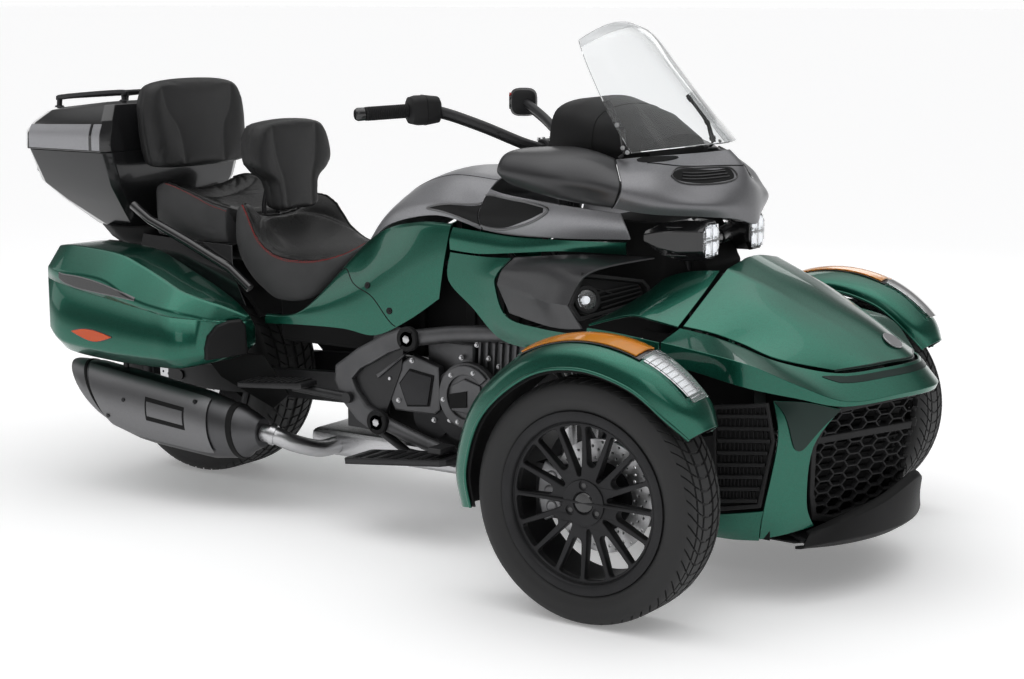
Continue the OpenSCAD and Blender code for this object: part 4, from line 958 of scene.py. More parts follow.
def frontFender(side, flat, centre):
    low = side.lower()
    body = "knuckle_" + low
    s = fenderSet
    shell = moved(fine([fenderRow(s, *row) for row in s["rows"]], 8, 5), centre, flat)
    rim = [row[-1] for row in shell]
    lip = tube([(p[0], p[1] + flat * 2.0, p[2]) for p in rim], 4.2, 12)
    inner = tube([(row[0][0], row[0][1] - flat * 2.0, row[0][2]) for row in shell], 3.6, 10)
    addPiece("fender" + side, [panel(shell, flat * panelThick), lip, inner], "green", body,
             ["front_fender_" + low], 0.0012, angle=38)
    liner = moved(fine([fenderRow(s, *row, lower=9.0) for row in s["rows"]], 6, 4), centre, flat)
    addPiece("fenderLiner" + side, [panel(liner, flat * 3)], "grain", body, angle=60)
    amber = moved([lampRow(a, 6.5) for a in range(118, 69, -4)], centre, flat)
    bed = moved([lampRow(a, 2.2, -3) for a in range(120, 66, -4)], centre, flat)
    addPiece("markerStrip" + side, [panel(fine(amber, 1, 6), flat * 4)], "amber", body,
             ["fender_lamp_" + low], 0.0012, angle=38)
    addPiece("markerBed" + side, [panel(fine(bed, 1, 6), flat * 3)], "gloss", body, bevel=0.0008, angle=38)
    front = moved(fine([lampRow(a, 8.0 - (68 - a) * 0.1, (68 - a) * 0.4) for a in range(68, 43, -4)], 3, 6),
                  centre, flat)
    back = moved(fine([lampRow(a, 1.5, (68 - a) * 0.4 + 3) for a in range(67, 43, -4)], 3, 6), centre, flat)
    addPiece("frontLampLens" + side, [panel(front, flat * 2)], "clear", body, bevel=0.0006, angle=38)
    ribs = []
    for k in range(9):
        a = 65 - k * 2.4
        ribs.append(tube(moved([lampRow(a, 3.2, (68 - a) * 0.4 + 6)], centre, flat)[0], 1.3, 8))
    addPiece("frontLampBowl" + side, [panel(back, flat * 2)] + ribs, "mirror", body, angle=38)


for side, flat in (("Right", 1), ("Left", -1)):
    centre = (0, -flat * halfTrack, wheelSet["front"]["r"])
    frontWheel(side, flat, centre)
    caliper(side, flat, centre)
    frontFender(side, flat, centre)
rearWheel()
print("wheels and fenders ready")


# nose grille, lip and side vents

grilleSet = {
    "foot": (462, -6, 232), "top": (505, -6, 474), "out": (-0.46, -0.888, 0),
    "outline": [(0, 0), (40, -34), (200, -64), (262, -50), (280, 20), (292, 140), (252, 226), (0, 246)],
    "inner": [(0, 14), (44, -18), (198, -48), (250, -36), (266, 22), (277, 136), (244, 212), (0, 231)],
    "core": [(0, -50), (44, -80), (198, -104), (345, -92), (365, 22), (360, 140), (310, 226), (0, 240)],
    "cell": (52, 30), "wall": 6.0, "hexagon": [(1, 0), (0.5, 1), (-0.5, 1), (-1, 0), (-0.5, -1), (0.5, -1)],
}


def inside(p, ring, margin):
    for a, b in zip(ring, ring[1:] + ring[:1]):
        dx, dy = b[0] - a[0], b[1] - a[1]
        far = hypot(dx, dy)
        if (dx * (p[1] - a[1]) - dy * (p[0] - a[0])) / far < margin:
            return False
    return True


def strut(a, b, width, depth, at):  # one wall of the honeycomb, thinner in front
    dx, dy = b[0] - a[0], b[1] - a[1]
    far = hypot(dx, dy)
    nx, ny = -dy / far * width / 2, dx / far * width / 2
    points = []
    for x, y in (a, b):
        for side, z in ((-0.55, 0), (0.55, 0), (1, depth * 0.35), (1, depth), (-1, depth),
                        (-1, depth * 0.35)):
            points.append(mm(at(x + nx * side, y + ny * side, z)))
    faces = [(i, (i + 1) % 6, (i + 1) % 6 + 6, i + 6) for i in range(6)]
    faces += [(5, 4, 3, 2, 1, 0), (6, 7, 8, 9, 10, 11)]
    return points, faces


def noseGrille(s):
    up = Vector(s["top"]) - Vector(s["foot"])
    deep = onPlane(Vector(s["foot"]) - Vector((6, 0, 0)), s["out"], up)
    flush = onPlane(s["foot"], s["out"], up)
    wide, high = s["cell"]
    walls = set()
    for i in range(-1, 9):
        for j in range(-4, 10):
            x, y = i * wide * 0.75, j * high + (i % 2) * high / 2
            ring = [(round(x + wide / 2 * c, 1), round(y + high / 2 * d, 1)) for c, d in s["hexagon"]]
            walls.update(tuple(sorted(edge)) for edge in zip(ring, ring[1:] + ring[:1]))
    honey = []
    for a, b in sorted(walls):
        run = [(a[0] + (b[0] - a[0]) * k / 10, a[1] + (b[1] - a[1]) * k / 10) for k in range(11)]
        run = [p for p in run if inside(p, s["inner"], -2)]
        if len(run) > 1:
            honey.append(strut(run[0], run[-1], s["wall"], 12, deep))
    border = cutPlate(s["outline"] + s["inner"][::-1], 16, 2.5, raised(flush, 8))
    bar = cutPlate([(-2, 150), (-2, 169), (286, 158), (290, 140)], 16, 3.0, raised(flush, 10))
    addPiece("noseGrille", pair(border, bar, *honey), "grain", nodes=["front_grille"])
    core = cutPlate(s["core"], 3, 0.5, raised(deep, 42))
    fins = [cutPlate(rect(2, 250, y, y + 5), 6, 0.8, raised(deep, 36)) for y in range(-34, 224, 17)]
    addPiece("noseCore", pair(core, *fins), "deep")


lipNet = [[(326, -310, 138), (384, -222, 134), (425, -110, 132), (440, 0, 132)],
          [(348, -314, 142), (412, -214, 148), (452, -108, 150), (470, 0, 152)],
          [(350, -284, 158), (404, -206, 186), (456, -104, 220), (492, 0, 264)],
          [(338, -274, 161), (392, -200, 192), (444, -100, 226), (480, 0, 270)]]
ventSet = {"origin": (300, -378, 236), "u": (-145, -26, 0), "v": (10, 0, 100),
           "outline": [(28, 0), (138, -20), (146, 230), (15, 246), (-2, 160)],
           "inner": [(36, 9), (131, -8), (138, 222), (21, 236), (6, 158)], "slats": 8}


def noseTrim(s):
    addPiece("chinLip", [panel(fine(whole(lipNet), 3, 6, (1, 2)), -8)], "trim", nodes=["front_lip"],
             bevel=0.002)
    tray = [[(322, -304, 141), (380, -217, 137), (420, -108, 135), (435, 0, 135)],
            [(240, -330, 150), (240, -220, 146), (240, -110, 144), (240, 0, 144)],
            [(130, -340, 152), (130, -220, 148), (130, -110, 146), (130, 0, 146)]]
    addPiece("noseTray", [panel(fine(whole(tray), 4, 5), -4)], "grain", bevel=0.001)
    at = onPlane(s["origin"], s["u"], s["v"])
    border = cutPlate(s["outline"], 12, 2.0, raised(at, 6), [s["inner"]])
    back = cutPlate(s["inner"], 3, 0.4, raised(at, 15))
    bars = []
    pitch = 228 / s["slats"]
    for k in range(s["slats"]):
        y = 6 + k * pitch
        x0 = 36 - 30 * min(1, max(0, (y - 9) / 150)) if y < 158 else 6 + 15 * (y - 158) / 78
        bars.append(cutPlate([(x0, y + 6), (133, y - 4), (134, y + 4), (x0, y + 14)], 11, 1.6, raised(at, 5)))
        for m in range(11):
            x = x0 + 8 + m * (126 - x0) / 11
            bars.append(cutPlate(rect(x, x + 3, y + 8, y + pitch), 6, 0.5, raised(at, 10)))
    addPiece("sideVents", pair(border, back, *bars), "grain", nodes=["side_grilles"])


noseGrille(grilleSet)
noseTrim(ventSet)
print("grilles ready")


# inlays that follow a net

def along(points, t):
    i = min(int(t), len(points) - 2)
    return between(points[max(i - 1, 0)], points[i], points[i + 1], points[min(i + 2, len(points) - 1)],
                   t - i)


def spot(net, u, v, lift=0.0):
    def at(a, b):
        a, b = min(max(a, 0), len(net) - 1), min(max(b, 0), len(net[0]) - 1)
        return Vector(along([along(row, b) for row in net], a))
    if not lift:
        return at(u, v)
    du, dv = at(u + 0.04, v) - at(u - 0.04, v), at(u, v + 0.04) - at(u, v - 0.04)
    return at(u, v) + lift * dv.cross(du).normalized()


def inlay(net, border, lift, thick, steps=8, across=8):  # border: (u, v from, v to) from end to end
    rows = []
    for u, low, high in smooth(border, steps):
        rows.append([spot(net, u, low + (high - low) * k / across, lift) for k in range(across + 1)])
    return panel(rows, thick)


def seamLine(net, spots, lift, radius, steps=10):  # a thin bead or shut line on a net
    return tube([spot(net, u, v, lift) for u, v in smooth(spots, steps)], radius, 8)


# cowl, lamps and screen

screenNet = [[(-152, -252, 1022), (-92, -176, 1030), (-52, -90, 1034), (-30, 0, 1036)],
             [(-218, -238, 1102), (-168, -164, 1114), (-132, -84, 1122), (-112, 0, 1124)],
             [(-286, -216, 1200), (-246, -146, 1214), (-222, -76, 1224), (-208, 0, 1228)],
             [(-324, -199, 1258), (-300, -130, 1284), (-286, -68, 1298), (-280, 0, 1304)],
             [(-346, -180, 1285), (-340, -122, 1306), (-334, -64, 1321), (-330, 0, 1327)]]


def bothSides(border):  # a line or inlay on both sides of the cowl's net
    last = len(cowlNet) - 1
    return [border, [(last - row[0],) + tuple(row[1:]) for row in border]]


def cowlTrim():
    vent = [(1.62, 2.52, 2.74), (1.9, 2.40, 3.02), (2.4, 2.30, 2.98), (2.9, 2.34, 2.92), (3.30, 2.44, 2.96),
            (3.42, 2.66, 2.86)]
    nostril = [(0.72, 3.52, 3.72), (0.95, 3.40, 3.93), (1.5, 3.46, 3.92), (1.95, 3.60, 3.88),
               (2.1, 3.70, 3.80)]
    dark = [inlay(cowlNet, border, -0.8, -3) for border in bothSides(vent) + bothSides(nostril)]
    addPiece("cowlVents", dark, "deep", bevel=0.0006, angle=38)
    slats = []
    for k in range(3):
        v = 2.52 + 0.14 * k
        spots = [(1.85 + 0.04 * k, v), (2.4, v - 0.03), (3.2, v + 0.02)]
        slats += [seamLine(cowlNet, line, -2.2, 1.6) for line in bothSides(spots)]
    rim = [(1.56, 2.62), (1.8, 2.34), (2.4, 2.24), (3.0, 2.28), (3.44, 2.46), (3.5, 2.78), (3.3, 3.02),
           (2.4, 3.04), (1.86, 3.08), (1.56, 2.62)]
    slats += [seamLine(cowlNet, line, -1.2, 2.0) for line in bothSides(rim)]
    addPiece("cowlVentBars", slats, "gloss", angle=60)
    chevron = [[(0.98, 3.36), (2.1, 3.18), (3.2, 3.12), (4, 3.02)],
               [(4, 3.02), (4.8, 3.12), (5.9, 3.18), (7.02, 3.36)]]
    seams = [seamLine(cowlNet, line, -0.6, 1.1) for line in chevron]
    ring = loop(podRings[0], 5)
    seams += pair(tube([(p[0] - 3, p[1] - 1.2, p[2]) for p in ring[:22]], 1.6, 8))
    addPiece("cowlSeams", seams, "deep", angle=60)
    cap = [spot(podRings, 3.9, v, 0) for v in (0.0, 1.0, 2.0, 3.0, 4.0)]
    addPiece("podEndSeams", pair(tube(smooth([tuple(p + Vector((2, -1.0, 1.0))) for p in cap], 6), 1.3, 8)),
             "deep", angle=60)


lampSet = {"rings": [(-12, -126, 808, 44, 48), (-56, -142, 808, 60, 50), (-92, -176, 812, 46, 40),
                     (-130, -212, 816, 18, 16)], "face": (-123, 807),
           "cells": [(-17, 20), (17, 20), (-17, -20), (17, -20)]}


def podRing(x, y, z, w, h):
    return [(x, y + a * w, z + b * h)
            for a, b in [(-1, -0.5), (-0.5, -1), (0.5, -1), (1, -0.5), (1, 0.5), (0.5, 1), (-0.5, 1),
                         (-1, 0.5)]]


def cell(x, y, z, w, h):
    return [(x, y + a * w, z + b * h) for a, b in rect(-1, 1, -1, 1)]


def headlights(s):
    shell = loft([podRing(*r) for r in s["rings"]])
    link = tube([(-52, -84, 808), (-52, -6, 800)], 22, 24)
    bezel = loft([podRing(-13, -126, 808, 45, 49), podRing(-2, -124.5, 807.6, 42, 46),
                  podRing(-2, -124.5, 807.6, 37, 41), podRing(-12, -126, 808, 37, 41)], False)
    fins = []
    for k in range(5):
        z = 774 + k * 17
        fins.append(loft([[(-40, -180, z), (-40, -172, z + 5), (-40, -176, z - 5)],
                          [(-78, -214, z + 2), (-78, -206, z + 8), (-78, -210, z - 3)]]))
    addPiece("lampPods", pair(shell, link, bezel, *fins), "gloss", nodes=["headlights"], bevel=0.0016,
             angle=24)
    glows, cups = [], []
    for dy, dz in s["cells"]:
        y, z = s["face"][0] + dy, s["face"][1] + dz
        cups.append(loft([cell(-10, y, z, 8, 10), cell(0, y, z, 15.5, 18)], False))
        glows.append(loft([cell(-9, y, z, 11, 13), cell(-2, y, z, 7, 9)]))
    addPiece("lampCups", pair(*cups), "mirror", angle=20)
    addPiece("lampGlow", pair(*glows), "glow", angle=20, bevel=0.001)
    lensCover = loft([podRing(-3, -124.5, 807.6, 37, 41), podRing(2.5, -122.6, 807.2, 34, 38),
                      podRing(4, -122, 807, 30, 35)])
    addPiece("lampLenses", pair(lensCover), "clear", bevel=0.001, angle=20)


def windScreen():
    sheet = fine(whole(screenNet), 8, 8)
    addPiece("screenSheet", [panel(sheet, 5)], "screen", nodes=["windshield"], bevel=0.001, angle=60)
    lip = [[tuple(Vector(p) + Vector((0.8, 0, 0.6))) for p in row] for row in sheet[26:]]
    addPiece("screenLip", [panel(lip, 1.2)], "frost", angle=60)
    arm = smooth([(-182.6, -229, 1016), (-190, -227, 1040), (-197.4, -225, 1070), (-222, -218, 1106),
                  (-249.4, -210, 1140)], 6)
    clamps = []
    for at in (3, 12, 22):
        clamps.append(tube([arm[at - 1], arm[at], arm[at + 1]], 9.2, 20))
    addPiece("screenArms", pair(tube(arm, 7, 20), *clamps), "gloss", nodes=["windshield_arms"], bevel=0.0008,
             angle=38)
    knobs = []
    for spotAt in ((-188, -231, 1030), (-172, -236, 1020), (-206, -228, 1084)):
        knobs += boltHead((spotAt[0] + 2, spotAt[1] - 5, spotAt[2]), (0.3, -0.9, 0.3), 4, 6)
    addPiece("screenBolts", pair(*knobs), "steel")


dashRows = [(-165, 132, 998, 120, 1036, 1048, 988), (-255, 170, 990, 164, 1080, 1108, 978),
            (-360, 180, 990, 172, 1110, 1142, 978), (-430, 164, 995, 156, 1106, 1134, 984),
            (-420, 150, 1006, 140, 1090, 1116, 998), (-385, 140, 1012, 134, 1082, 1106, 1004)]


def dashRing(x, low, lowZ, high, highZ, top, foot):
    return [(x, -low, lowZ), (x, -high, highZ), (x, 0, top), (x, high, highZ), (x, low, lowZ), (x, 0, foot)]


def dashBoard():
    rings = [loop(dashRing(*row), 8) for row in dashRows]
    addPiece("dashHood", [loft(rings)] + pair(tube([(-330, -150, 985), (-330, -236.5, 985)], 7, 16)), "trim",
             nodes=["dash"], bevel=0.002)
    back = onPlane((-388, 0, 1054), (0, -1, 0), (0.12, 0, 1))
    glass = [cutPlate([(-52, -34), (52, -34), (58, 30), (-58, 30)], 5, 1.2, back)]
    for x in (-94, 94):
        glass.append(cutPlate(ringOf(x, -2, 34, 48), 4, 1.0, back))
    addPiece("dashGlass", glass, "gloss")
    marks = []
    for x in (-94, 94):
        marks.append(cutPlate(ringOf(x, -2, 37, 48), 7, 1.2, back, [ringOf(x, -2, 33.5, 48)]))
        for k in range(25):
            a = radians(225 - k * 270 / 24)
            near, w = (26, 0.8) if k % 3 == 0 else (28.5, 0.45)
            marks.append(cutPlate(ray(x, -2, near, 31, w, a), 5.4, 0.1, back))
        a = radians(205)
        marks.append(cutPlate([(x - 4 * cos(a), -2 - 4 * sin(a) - 1.4), (x + 27 * cos(a), -2 + 27 * sin(a)),
                               (x - 4 * cos(a), -2 - 4 * sin(a) + 1.4)], 6.2, 0.1, back))
    addPiece("dashDials", marks, "steel")
    ring = dashRing(-300, 174, 990, 167, 1092, 1122, 978)
    joint = [(x, y * 1.004, 988 + (z - 988) * 1.004) for x, y, z in loop(ring, 10)[:42]]
    addPiece("dashSeam", [tube(joint, 1.4, 8)], "deep", angle=60)


intakeSet = {"origin": (-205, -404, 624), "u": (96, 190, 78), "v": (-12, 30, 100),
             "outline": [(4, 4), (206, -34), (216, 0), (208, 22), (66, 104), (0, 46)],
             "inner": [(13, 11), (200, -24), (207, 0), (201, 17), (66, 93), (9, 44)], "lamp": (50, 40),
             "lampR": 28}


def intakes(s):
    addPiece("intakeShells", pair(panel(fine(shroudNet, 7, 6, (), (2,)), panelThick)), "shroudGrey",
             nodes=["intake_shrouds", "fog_lamps"], bevel=panelEdge)
    at = onPlane(s["origin"], s["u"], s["v"])
    border = cutPlate(s["outline"], 14, 2.0, raised(at, -7), [s["inner"]])
    back = cutPlate(s["inner"], 2, 0.3, raised(at, -26))
    bars = []
    for k in range(7):
        y0, y1 = 58 - k * 13, 26 - k * 9.5
        x0 = 58 if k < 5 else 20
        x1 = 196 - abs(k - 2) * 3 if k else 120
        bars.append(cutPlate([(x0 + 20, y0 - 2), (x1, y1 - 2), (x1, y1 + 2), (x0 + 20, y0 + 2)], 10, 0.9,
                             raised(at, -13)))
    x, y = s["lamp"]
    cup = cutPlate(ringOf(x, y, s["lampR"] + 6, 40), 26, 2.0, raised(at, -15),
                   [ringOf(x, y, s["lampR"] - 3, 40)])
    spokes = [cutPlate(ray(x, y, 5, 26, 1.2, k * pi / 3), 8, 0.4, raised(at, -20)) for k in range(6)]
    addPiece("intakeGrilles", pair(border, back, cup, *bars, *spokes), "grain")
    glow = cutPlate(ringOf(x, y, 9, 24), 12, 2.0, raised(at, -16))
    addPiece("fogGlow", pair(glow), "glow")
    dome = [[(x + r * cos(t), y + r * sin(t), d) for t in [k * pi / 20 for k in range(40)]]
            for r, d in ((25, -9), (24, -4), (18, -1), (9, 1), (1, 1.5))]
    addPiece("fogLenses", pair(loft([[at(*p) for p in ring] for ring in dome])), "clear", angle=40)


def bodyMarks():
    wing = [(1.3, 1.36, 1.62), (1.6, 0.92, 1.70), (2.1, 0.50, 1.72), (2.6, 0.40, 1.70), (3, 0.46, 1.62)]
    top = [(0.0, 0.42, 1.28), (0.35, 0.44, 1.12), (0.8, 0.52, 0.92), (1.12, 0.62, 0.72)]
    wells = [inlay(tankWing, wing, 0.7, 3), inlay(tankNet, top, 0.7, 3)]
    addPiece("tankWells", pair(*wells), "trim", bevel=0.0006)
    wing = [(3, 1.66), (2.6, 1.76), (2.1, 1.78), (1.6, 1.76), (1.22, 1.52), (1.5, 0.86), (2.1, 0.42),
            (2.6, 0.32), (3, 0.38)]
    top = [(0, 0.36), (0.35, 0.38), (0.8, 0.46), (1.18, 0.66), (0.8, 0.96), (0.35, 1.18), (0, 1.34)]
    rims = [seamLine(tankWing, wing, 0.6, 3.4), seamLine(tankNet, top, 0.6, 3.0)]
    addPiece("tankWellRims", pair(*rims), "pale", angle=60)
    ridge = [seamLine(tankNet, [(0, 2.3), (0.7, 2.25), (1.3, 2.2), (2.0, 2.3), (2.6, 2.6)], -0.4, 1.2)]
    addPiece("tankSeams", pair(*ridge), "deep", angle=60)
    flank = sideNets["flank"]
    plugs = []
    for u, v in ((2.35, 1.1), (1.62, 0.45)):
        at = spot(flank, u, v)
        out = (spot(flank, u, v, 1.0) - at).normalized()
        plugs.append(spindle(at, out, (-2, 2, 3), [9, 9, 7], 24))
        plugs.append(spindle(at, out, (2, 4.6), [4, 3.4], 6))
    addPiece("flankPlugs", pair(*plugs), "grain")
    lines = [seamLine(flank, [(3.3, 2.3), (2.9, 1.4), (2.1, 0.75), (1.4, 0.05)], 0.1, 1.3)]
    addPiece("flankSeams", pair(*lines), "deep", angle=60)
    hood = whole(hoodNet)
    shut = seamLine(hood, [(0, 0), (0.0, 1.5), (0, 3), (0, 4.5), (0, 6)], -5.0, 5.4)
    addPiece("hoodSeams", [shut], "shadeAndSeamGreen", "hood", angle=60)
    last = len(hood) - 1
    edge = [spot(hood, last * (1 - k / 12), 0) for k in range(13)]
    edge += [spot(hood, 0, k / 4) for k in range(1, 13)]
    gutter = []
    for out, down in ((-14, 24), (20, 28), (56, 30)):
        row = []
        for q in edge:
            way = (Vector((230, 0, q.z)) - q).normalized()
            row.append(tuple(q + way * out - Vector((0, 0, down))))
        gutter.append(row)
    addPiece("hoodGutter", pair(panel(gutter, 3)), "deep", angle=40)
    tip = spot(hood, 0.55, 3, 0.2)
    out = (spot(hood, 0.55, 3, 1.0) - spot(hood, 0.55, 3)).normalized()
    if out.z < 0:
        out = -out
    disc = spindle(tip, out, (-1, 2.4, 3.4), [24, 24, 22], 56)
    ring = spindle(tip, out, (2, 4.2), [27, 25.5], 56)
    addPiece("noseBadge", [disc, ring], "alloy", "hood")
    # a flat dark green inlay on the shelf: painted shade where the slot under the hood lies
    border = [(0.16, 3.9, 8.1), (0.26, 3.7, 8.3), (0.38, 4.0, 8.0)]
    slot = inlay(whole(noseSet["shelf"]), border, -0.8, -3, 5, 16)
    addPiece("hoodSlotShade", [slot], "shadeAndSeamGreen", angle=40)
    # a flat dark green inlay across the top of each cheek: painted shade in the recess under the shelf
    border = [(0.03, 0.03, 0.20), (0.28, 0.03, 0.78), (0.6, 0.03, 1.08), (1.0, 0.03, 1.10),
              (1.32, 0.03, 0.88), (1.66, 0.03, 0.42), (1.97, 0.03, 0.08)]
    shade = inlay(turned(noseSet["cheek"]), border, -0.8, 2, 6, 10)
    addPiece("cheekRecessShade", pair(shade), "shadeAndSeamGreen", angle=40)
    inner = [cutPlate([(140, 156), (280, 152), (280, 400), (140, 400)], 4, 1.0, sideOn(-346))]
    inner.append(cutPlate([(-110, 430), (190, 430), (190, 560), (60, 588), (-110, 600)], 4, 1.0,
                          sideOn(-262)))
    addPiece("noseLiner", pair(*inner), "deep")


cowlTrim()
headlights(lampSet)
windScreen()
dashBoard()
intakes(intakeSet)
bodyMarks()
print("cowl and lamps ready")


# seats and backrests, puffed up by a short cloth run

def seatRing(d, foot, top, half):
    ring = [(rx(d), -w, z) for w, z in [(0, foot), *half, (0, top)]]
    return ring + [flip(p) for p in reversed(ring[1:-1])]


riderRings = [seatRing(*row) for row in [
    (645, 700, 742, [(40, 700), (92, 706), (112, 716), (108, 730), (96, 737), (70, 739), (36, 741)]),
    (590, 668, 693, [(60, 664), (140, 640), (160, 660), (156, 690), (138, 702), (100, 700), (50, 695)]),
    (520, 636, 660, [(90, 632), (182, 572), (206, 602), (204, 662), (186, 686), (140, 676), (70, 664)]),
    (420, 632, 652, [(90, 630), (196, 560), (224, 592), (222, 666), (202, 692), (150, 676), (75, 658)]),
    (350, 636, 666, [(90, 636), (194, 590), (222, 622), (220, 704), (200, 730), (150, 702), (80, 674)]),
    (300, 648, 704, [(90, 648), (186, 622), (214, 660), (212, 766), (190, 798), (140, 762), (80, 716)]),
    (262, 664, 766, [(90, 664), (172, 656), (200, 690), (197, 796), (172, 823), (132, 809), (84, 774)]),
    (232, 688, 780, [(80, 688), (150, 688), (178, 710), (176, 786), (154, 811), (118, 803), (84, 784)])]]
pillionRings = [seatRing(*row) for row in [
    (204, 694, 784, [(80, 694), (150, 698), (176, 716), (178, 780), (162, 804), (120, 796), (60, 786)]),
    (150, 690, 790, [(90, 690), (170, 696), (196, 716), (198, 796), (182, 824), (140, 808), (70, 794)]),
    (60, 690, 806, [(90, 690), (172, 700), (200, 730), (200, 828), (182, 852), (140, 832), (70, 812)]),
    (-20, 690, 832, [(80, 690), (160, 702), (192, 730), (194, 846), (174, 868), (136, 850), (70, 836)]),
    (-70, 690, 840, [(80, 690), (150, 704), (178, 724), (180, 834), (160, 856), (120, 848), (60, 842)])]]
riderBackLine = [(0, 790), (-84, 792), (-92, 838), (-104, 874), (-146, 902), (-170, 932), (-168, 976),
                 (-150, 1020), (-112, 1044), (0, 1052)]
pillionBackLine = [(0, 895), (-150, 898), (-188, 908), (-202, 944), (-209, 1000), (-211, 1050), (-205, 1100),
                   (-178, 1140), (-108, 1155), (0, 1159)]


def backRings(line, rows):  # rows: (x at the foot, lean, share of the outline)
    full = line + [(-y, z) for y, z in line[-2:0:-1]]
    foot, middle = line[0][1], (line[0][1] + line[-1][1]) / 2
    rings = []
    for x, lean, share in rows:
        rings.append([(rx(x) - (z - foot) * lean, y * share, middle + (z - middle) * share) for y, z in full])
    return rings


riderBack = backRings(riderBackLine,
                      [(330, 0.07, 0.90), (320, 0.08, 0.97), (296, 0.11, 1.0), (268, 0.16, 0.94)])
pillionBack = backRings(pillionBackLine,
                        [(-24, 0.11, 0.90), (-36, 0.11, 0.97), (-68, 0.09, 1.0), (-104, 0.06, 0.95)])
padSet = {"voxel": 0.006, "pressure": 4.0, "frames": 20, "wide": 0.010, "groove": 0.0045}


def settled(piece):  # the mesh as its modifiers leave it
    view = bpy.context.view_layer
    view.update()
    return bpy.data.meshes.new_from_object(piece.evaluated_get(bpy.context.evaluated_depsgraph_get()))


def pad(name, parts, look, node, seams, shrink, cap, keep, inset=None):  # held where keep(normal) is true
    s = padSet
    piece = bpy.data.objects.new(name, meshFrom(name, parts))
    scene.collection.objects.link(piece)
    grid = piece.modifiers.new("grid", "REMESH")
    grid.mode = "VOXEL"
    grid.voxel_size = s["voxel"]
    body = settled(piece)
    piece.modifiers.clear()
    piece.data = body
    dots = []
    for line in seams:
        dots += [mm(p) for p in line]
    tree = KDTree(max(1, len(dots)))
    for i, p in enumerate(dots):
        tree.insert(p, i)
    tree.balance()
    held = []
    shift = {}
    for v in body.vertices:
        far = tree.find(v.co)[2] if dots else 1
        deep = shrink
        if far < s["wide"]:
            deep += s["groove"] * (1 - far / s["wide"]) ** 1.5
        if far < s["wide"] * 0.55 or keep(v.normal):
            held.append(v.index)
        shift[v.index] = v.co - v.normal * deep
    for i, p in shift.items():
        body.vertices[i].co = p
    group = piece.vertex_groups.new(name="held")
    group.add(held, 1.0, "REPLACE")
    start = [v.co.copy() for v in body.vertices]
    soft = piece.modifiers.new("cloth", "CLOTH")
    cloth = soft.settings
    cloth.quality = 4
    cloth.mass = 0.25
    cloth.tension_stiffness = cloth.compression_stiffness = 18
    cloth.bending_stiffness = 0.6
    cloth.use_pressure = True
    cloth.uniform_pressure_force = s["pressure"]
    cloth.vertex_group_mass = "held"
    cloth.effector_weights.gravity = 0
    soft.point_cache.frame_start, soft.point_cache.frame_end = 1, s["frames"]
    for tick in range(1, s["frames"] + 1):
        scene.frame_set(tick)
    swollen = settled(piece)
    piece.modifiers.clear()
    piece.vertex_groups.clear()
    for i, p in enumerate(start):
        step = swollen.vertices[i].co - p
        if step.length > cap:
            step *= cap / step.length
        body.vertices[i].co = p + step
    bpy.data.meshes.remove(swollen)
    scene.frame_set(1)
    body.polygons.foreach_set("use_smooth", [True] * len(body.polygons))
    body.materials.clear()
    body.materials.append(looks[look])
    if inset:  # the hollow of a seat has its own leather
        body.materials.append(looks["leather"])
        marks = KDTree(len(inset))
        for i, row in enumerate(inset):
            marks.insert(mm(row[0]), i)
        marks.balance()
        picks = [int(inset[marks.find(p.center)[1]][1]) for p in body.polygons]
        body.polygons.foreach_set("material_index", picks)
    finer = piece.modifiers.new("finer", "SUBSURF")
    finer.levels = finer.render_levels = 1
    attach(piece, "chassis")
    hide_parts(node)
    return BVHTree.FromPolygons([v.co for v in body.vertices], [tuple(p.vertices) for p in body.polygons])


def ringLine(rings, spots, steps=8):
    return [spot(rings, u, v) for u, v in smooth(spots, steps)]


def onSkin(skin, p, lift):  # a point of the drawing brought onto a finished pad
    place, out = skin.find_nearest(mm(p))[:2]
    place = (place + out * lift / 1000) * 1000
    return place - Vector((frontAxle * 1000, 0, 0))


def stitched(line, skin, gap=7.0, length=4.4):  # short stitches along a line
    parts = []
    run, last = 0.0, Vector(line[0])
    for p in line[1:]:
        p = Vector(p)
        way = p - last
        while run < way.length:
            at = last + way.normalized() * run
            parts.append(tube([onSkin(skin, at, 0.5), onSkin(skin, at + way.normalized() * length, 0.5)],
                              0.9, 6))
            run += gap
        run -= way.length
        last = p
    return parts


def leftAlso(lines):
    return lines + [[flip(p) for p in line] for line in lines]


def hollowMarks(rings, u0, u1, rim):
    marks = []
    for i in range(len(rings) * 8 - 7):
        for j in range(61):
            u, v = i / 8, j / 4
            marks.append((spot(rings, u, v), u0 < u < u1 and rim < v < 16 - rim))
    return marks


def softLoft(rings):
    return loft(turned([smooth(line, 6) for line in turned([loop(ring, 4) for ring in rings])]))


